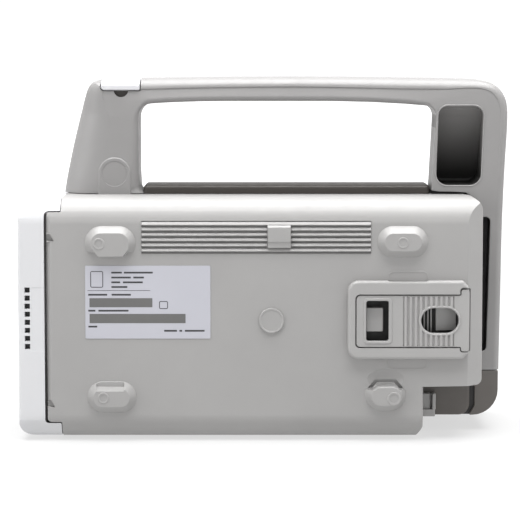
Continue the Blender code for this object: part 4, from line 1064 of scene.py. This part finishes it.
# ----------------------------------------------------------------------- socket side
X_SOCKET = -43.0
plate = solid("panel", rect(26.0, 150.0, 28.0, 82.0, 4.6, 8), "X", -42.4, -39.6, r_lo=0.5)
cut(
    plate,
    *[pit(circle(y, z, r, 48), "X", -38.0, -42.4, 0.25, n=3) for y, z, r in ((132.0, 52.0, 11.25), (46.0, 65.0, 9.25), (46.0, 40.0, 6.45), (74.0, 52.0, 8.75))],
    pit(rect(92.75, 115.25, 44.25, 59.75, 3.2, 6), "X", -38.0, -42.4, 0.25, n=3),
)
# shallow grooves that set the sockets apart
cut(plate, *[pit(rect(y - 0.35, y + 0.35, 31.5, 78.5, 0.3, 2), "X", -42.0, -42.4, 0.1, n=2) for y in (60.2, 87.6, 118.4)])
finish(plate, "socket_panel_plate", PANEL, nodes=("socket_panel",))


def round_socket(name, node, y, z, radius, bore, depth, mat, core, pins, pin_circle, key_angle=90.0):
    x = X_SOCKET + 0.2
    back_x = x + depth + 1.9
    profile = [(0.03, back_x), (radius, back_x), (radius, x + 0.6), (radius - 0.2, x + 0.15), (radius - 0.6, x), (bore + 0.9, x), (bore + 0.3, x + 0.3), (bore, x + 1.0), (bore, x + depth), (bore - 0.4, x + depth + 0.3)]
    profile += [(core + 0.3, x + depth + 0.3), (core, x + depth), (core, x + 2.6), (core - 0.4, x + 2.2), (0.03, x + 2.2)]
    cup = turned(name, profile, "X", y, z, 56)
    flange = solid("flange", circle(y, z, radius + 1.3, 48), "X", -39.3, -37.7, r_lo=0.2, r_hi=0.2, n=2)
    cut(flange, solid("cutter", circle(y, z, radius - 0.3, 40), "X", -60.0, 0.0))
    add(cup, flange)
    a = math.radians(key_angle)
    ky, kz = y + (bore - 0.1) * math.cos(a), z + (bore - 0.1) * math.sin(a)
    add(cup, solid("key", circle(ky, kz, 0.75, 20), "X", x + 1.6, x + depth + 0.6))
    holes = [(y + pin_circle * math.cos(2 * math.pi * (k + 0.5) / pins), z + pin_circle * math.sin(2 * math.pi * (k + 0.5) / pins)) for k in range(pins)]
    cut(cup, *[pit(circle(hy, hz, 0.55, 16), "X", x + 6.0, x + 2.2, 0.15, n=2) for hy, hz in holes])
    finish(cup, name, mat, nodes=(node,), angle=36)
    contacts = [turned("pin", [(0.02, x + 6.3), (0.4, x + 6.3), (0.4, x + 3.1), (0.25, x + 2.85), (0.02, x + 2.8)], "X", hy, hz, 14) for hy, hz in holes]
    join(contacts[0], *contacts[1:])
    finish(contacts[0], name + "_contacts", GOLD, angle=40)


round_socket("ecg_socket_cup", "ecg_socket", 132.0, 52.0, 11.0, 8.6, 11.0, CREAM, 6.3, 12, 4.4)
round_socket("pressure_socket_cup", "pressure_socket", 46.0, 65.0, 9.0, 7.0, 11.0, RED, 4.9, 6, 3.0)
round_socket("temperature_socket_cup", "temperature_socket", 46.0, 40.0, 6.2, 4.4, 9.0, BROWN, 2.9, 3, 1.5)

x = X_SOCKET + 0.2
oxi = solid("oxi", rect(93.0, 115.0, 44.5, 59.5, 3.0, 8), "X", x, -29.0, r_lo=0.6)
add(oxi, solid("flange", rect(91.0, 117.0, 42.5, 61.5, 3.0, 6), "X", -39.3, -37.7, r_lo=0.2, r_hi=0.2, n=2))
cut(oxi, pit(rect(95.2, 112.8, 46.6, 57.4, 2.0, 6), "X", -31.0, x, 0.5))
add(oxi, solid("tongue", rect(98.0, 110.0, 50.0, 54.0, 0.8, 4), "X", x + 2.0, -30.5, r_lo=0.3, n=3))
add(oxi, *[solid("rail", rect(y - 0.5, y + 0.5, 46.0, 47.6, 0.2, 2), "X", x + 1.5, -30.5) for y in (100.0, 108.0)])
finish(oxi, "spo2_socket_cup", BLUE, nodes=("spo2_socket",), angle=34)
strips = []
for k in range(5):
    y = 99.6 + 2.2 * k
    for z0, z1 in ((53.95, 54.15), (49.85, 50.05)):
        strips.append(solid("strip", rect(y - 0.5, y + 0.5, z0, z1), "X", x + 2.6, -31.2))
join(strips[0], *strips[1:])
finish(strips[0], "spo2_socket_contacts", GOLD)

collar = turned("collar", [(1.3, -30.8), (8.5, -30.8), (8.5, x + 0.7), (8.2, x + 0.2), (7.7, x), (6.2, x), (5.75, x + 0.35), (5.6, x + 0.9), (5.6, -33.6), (3.3, -33.6), (3.3, x + 3.2), (3.0, x + 2.8), (1.7, x + 2.8), (1.3, x + 3.2)], "X", 74.0, 52.0, 56)
flange = solid("flange", circle(74.0, 52.0, 9.9, 48), "X", -39.3, -37.7, r_lo=0.2, r_hi=0.2, n=2)
cut(flange, solid("cutter", circle(74.0, 52.0, 8.2, 40), "X", -60.0, 0.0))
add(collar, flange)
spout = turned("spout", [(1.3, -31.2), (2.6, -31.2), (2.6, -26.4), (2.35, -26.0), (1.3, -26.0)], "X", 74.0, 52.0, 32)
add(collar, spout)
cut(collar, *[solid("cutter", circle(74.0 + 6.6 * math.cos(math.radians(a)), 52.0 + 6.6 * math.sin(math.radians(a)), 1.15, 20), "X", -60.0, x + 2.6) for a in (0.0, 120.0, 240.0)])
finish(collar, "cuff_air_port", RED, nodes=("cuff_air_fitting",), angle=34)

# -------------------------------------------------------------------- rear connector
link = solid("link", rect(17.9, 31.1, 47.9, 72.1, 0.8, 4), "Y", 178.0, 188.6, r_hi=0.4)
add(link, solid("flange", rect(16.5, 32.5, 46.0, 74.0, 1.2, 4), "Y", 182.0, 185.6))
cut(link, pit(rect(19.4, 29.6, 49.8, 70.2, 0.7, 4), "Y", 180.0, 188.6, 0.35))
add(link, solid("blade", rect(23.9, 25.1, 52.0, 68.0, 0.2, 2), "Y", 178.5, 187.2, r_hi=0.2, n=2))
cut(link, pit(rect(28.6, 30.4, 58.8, 61.2, 0.3, 3), "Y", 183.0, 188.6, 0.15, n=2))
finish(link, "docking_link_socket", PLUG, nodes=("docking_connector",))
strips = []
for k in range(12):
    z = 53.2 + 1.24 * k
    for x0, x1 in ((23.78, 23.98), (25.02, 25.22)):
        strips.append(solid("strip", rect(x0, x1, z - 0.32, z + 0.32), "Y", 180.5, 186.9))
join(strips[0], *strips[1:])
finish(strips[0], "docking_link_contacts", GOLD)


# --------------------------------------------------- CAD nodes that keep their shape
def dress(node, mat):
    obj = frame["nodes"][node]
    if not obj.material_slots:
        obj.data.materials.append(mat)
    for slot in obj.material_slots:
        slot.material = mat


PUMP = brushed("pump_can_steel", (0.46, 0.46, 0.47), 0.42, (14.0, 1.0, 14.0))
TUBE = moulded("air_tube_silicone", (0.50, 0.50, 0.49), 0.5, depth=0.00001)
for node, mat in {
    "alarm_lamp_board": BOARD, "battery_bay": BLACK_AND_PAINTED_SHADE, "battery_contacts": PLUG, "chassis_frame": CHASSIS,
    "cuff_air_tube": TUBE, "pump_air_tube": TUBE, "cuff_pump": PUMP, "cuff_valve_block": SPEAKER,
    "display_flex_cable": FLEX, "display_frame": STEEL, "front_board": BOARD, "key_mat": SILICONE,
    "loudspeaker": SPEAKER, "main_board": BOARD, "measurement_board": BOARD, "shield_plate": STEEL,
    "handle_screw_front": STEEL, "handle_screw_rear": STEEL,
    "case_screw_1": STEEL, "case_screw_2": STEEL, "case_screw_3": STEEL, "case_screw_4": STEEL,
}.items():
    dress(node, mat)

# ------------------------------------------------------------------------------ floor
floor = solid("floor", rect(-9000.0, 9000.0, -9000.0, 9000.0), "Z", -21.0, -1.0)
floor.location.z = 0.0
for v in floor.data.vertices:
    v.co.z = min(v.co.z, -0.0001) if v.co.z > -0.01 else v.co.z
floor.name = "studio_floor"
FLOOR, tree, shader = nodes_of("studio_floor_glowing")
coords = tree.nodes.new("ShaderNodeTexCoord").outputs["Object"]
tree.links.new(blend_colour(tree, spread(tree, noise(tree, coords, 60.0, 3.0), 0.0, 1.0), (0.168, 0.168, 0.168), (0.172, 0.172, 0.172)), shader.inputs["Base Color"])
shader.inputs["Roughness"].default_value = 0.85
# the floor glows, about 0.62 under and near the object rising to 1.1 far off, where it turns into a white backdrop; the
# near glow is painted light that lifts the shadow under the object and also throws light up onto its underside
flat = tree.nodes.new("ShaderNodeVectorMath")
flat.operation = "LENGTH"
tree.links.new(coords, flat.inputs[0])
tree.links.new(spread(tree, flat.outputs["Value"], 0.62, 1.1, 0.6, 1.7), shader.inputs["Emission Strength"])
shader.inputs["Emission Color"].default_value = (1.0, 1.0, 1.0, 1.0)
floor.data.materials.append(FLOOR)
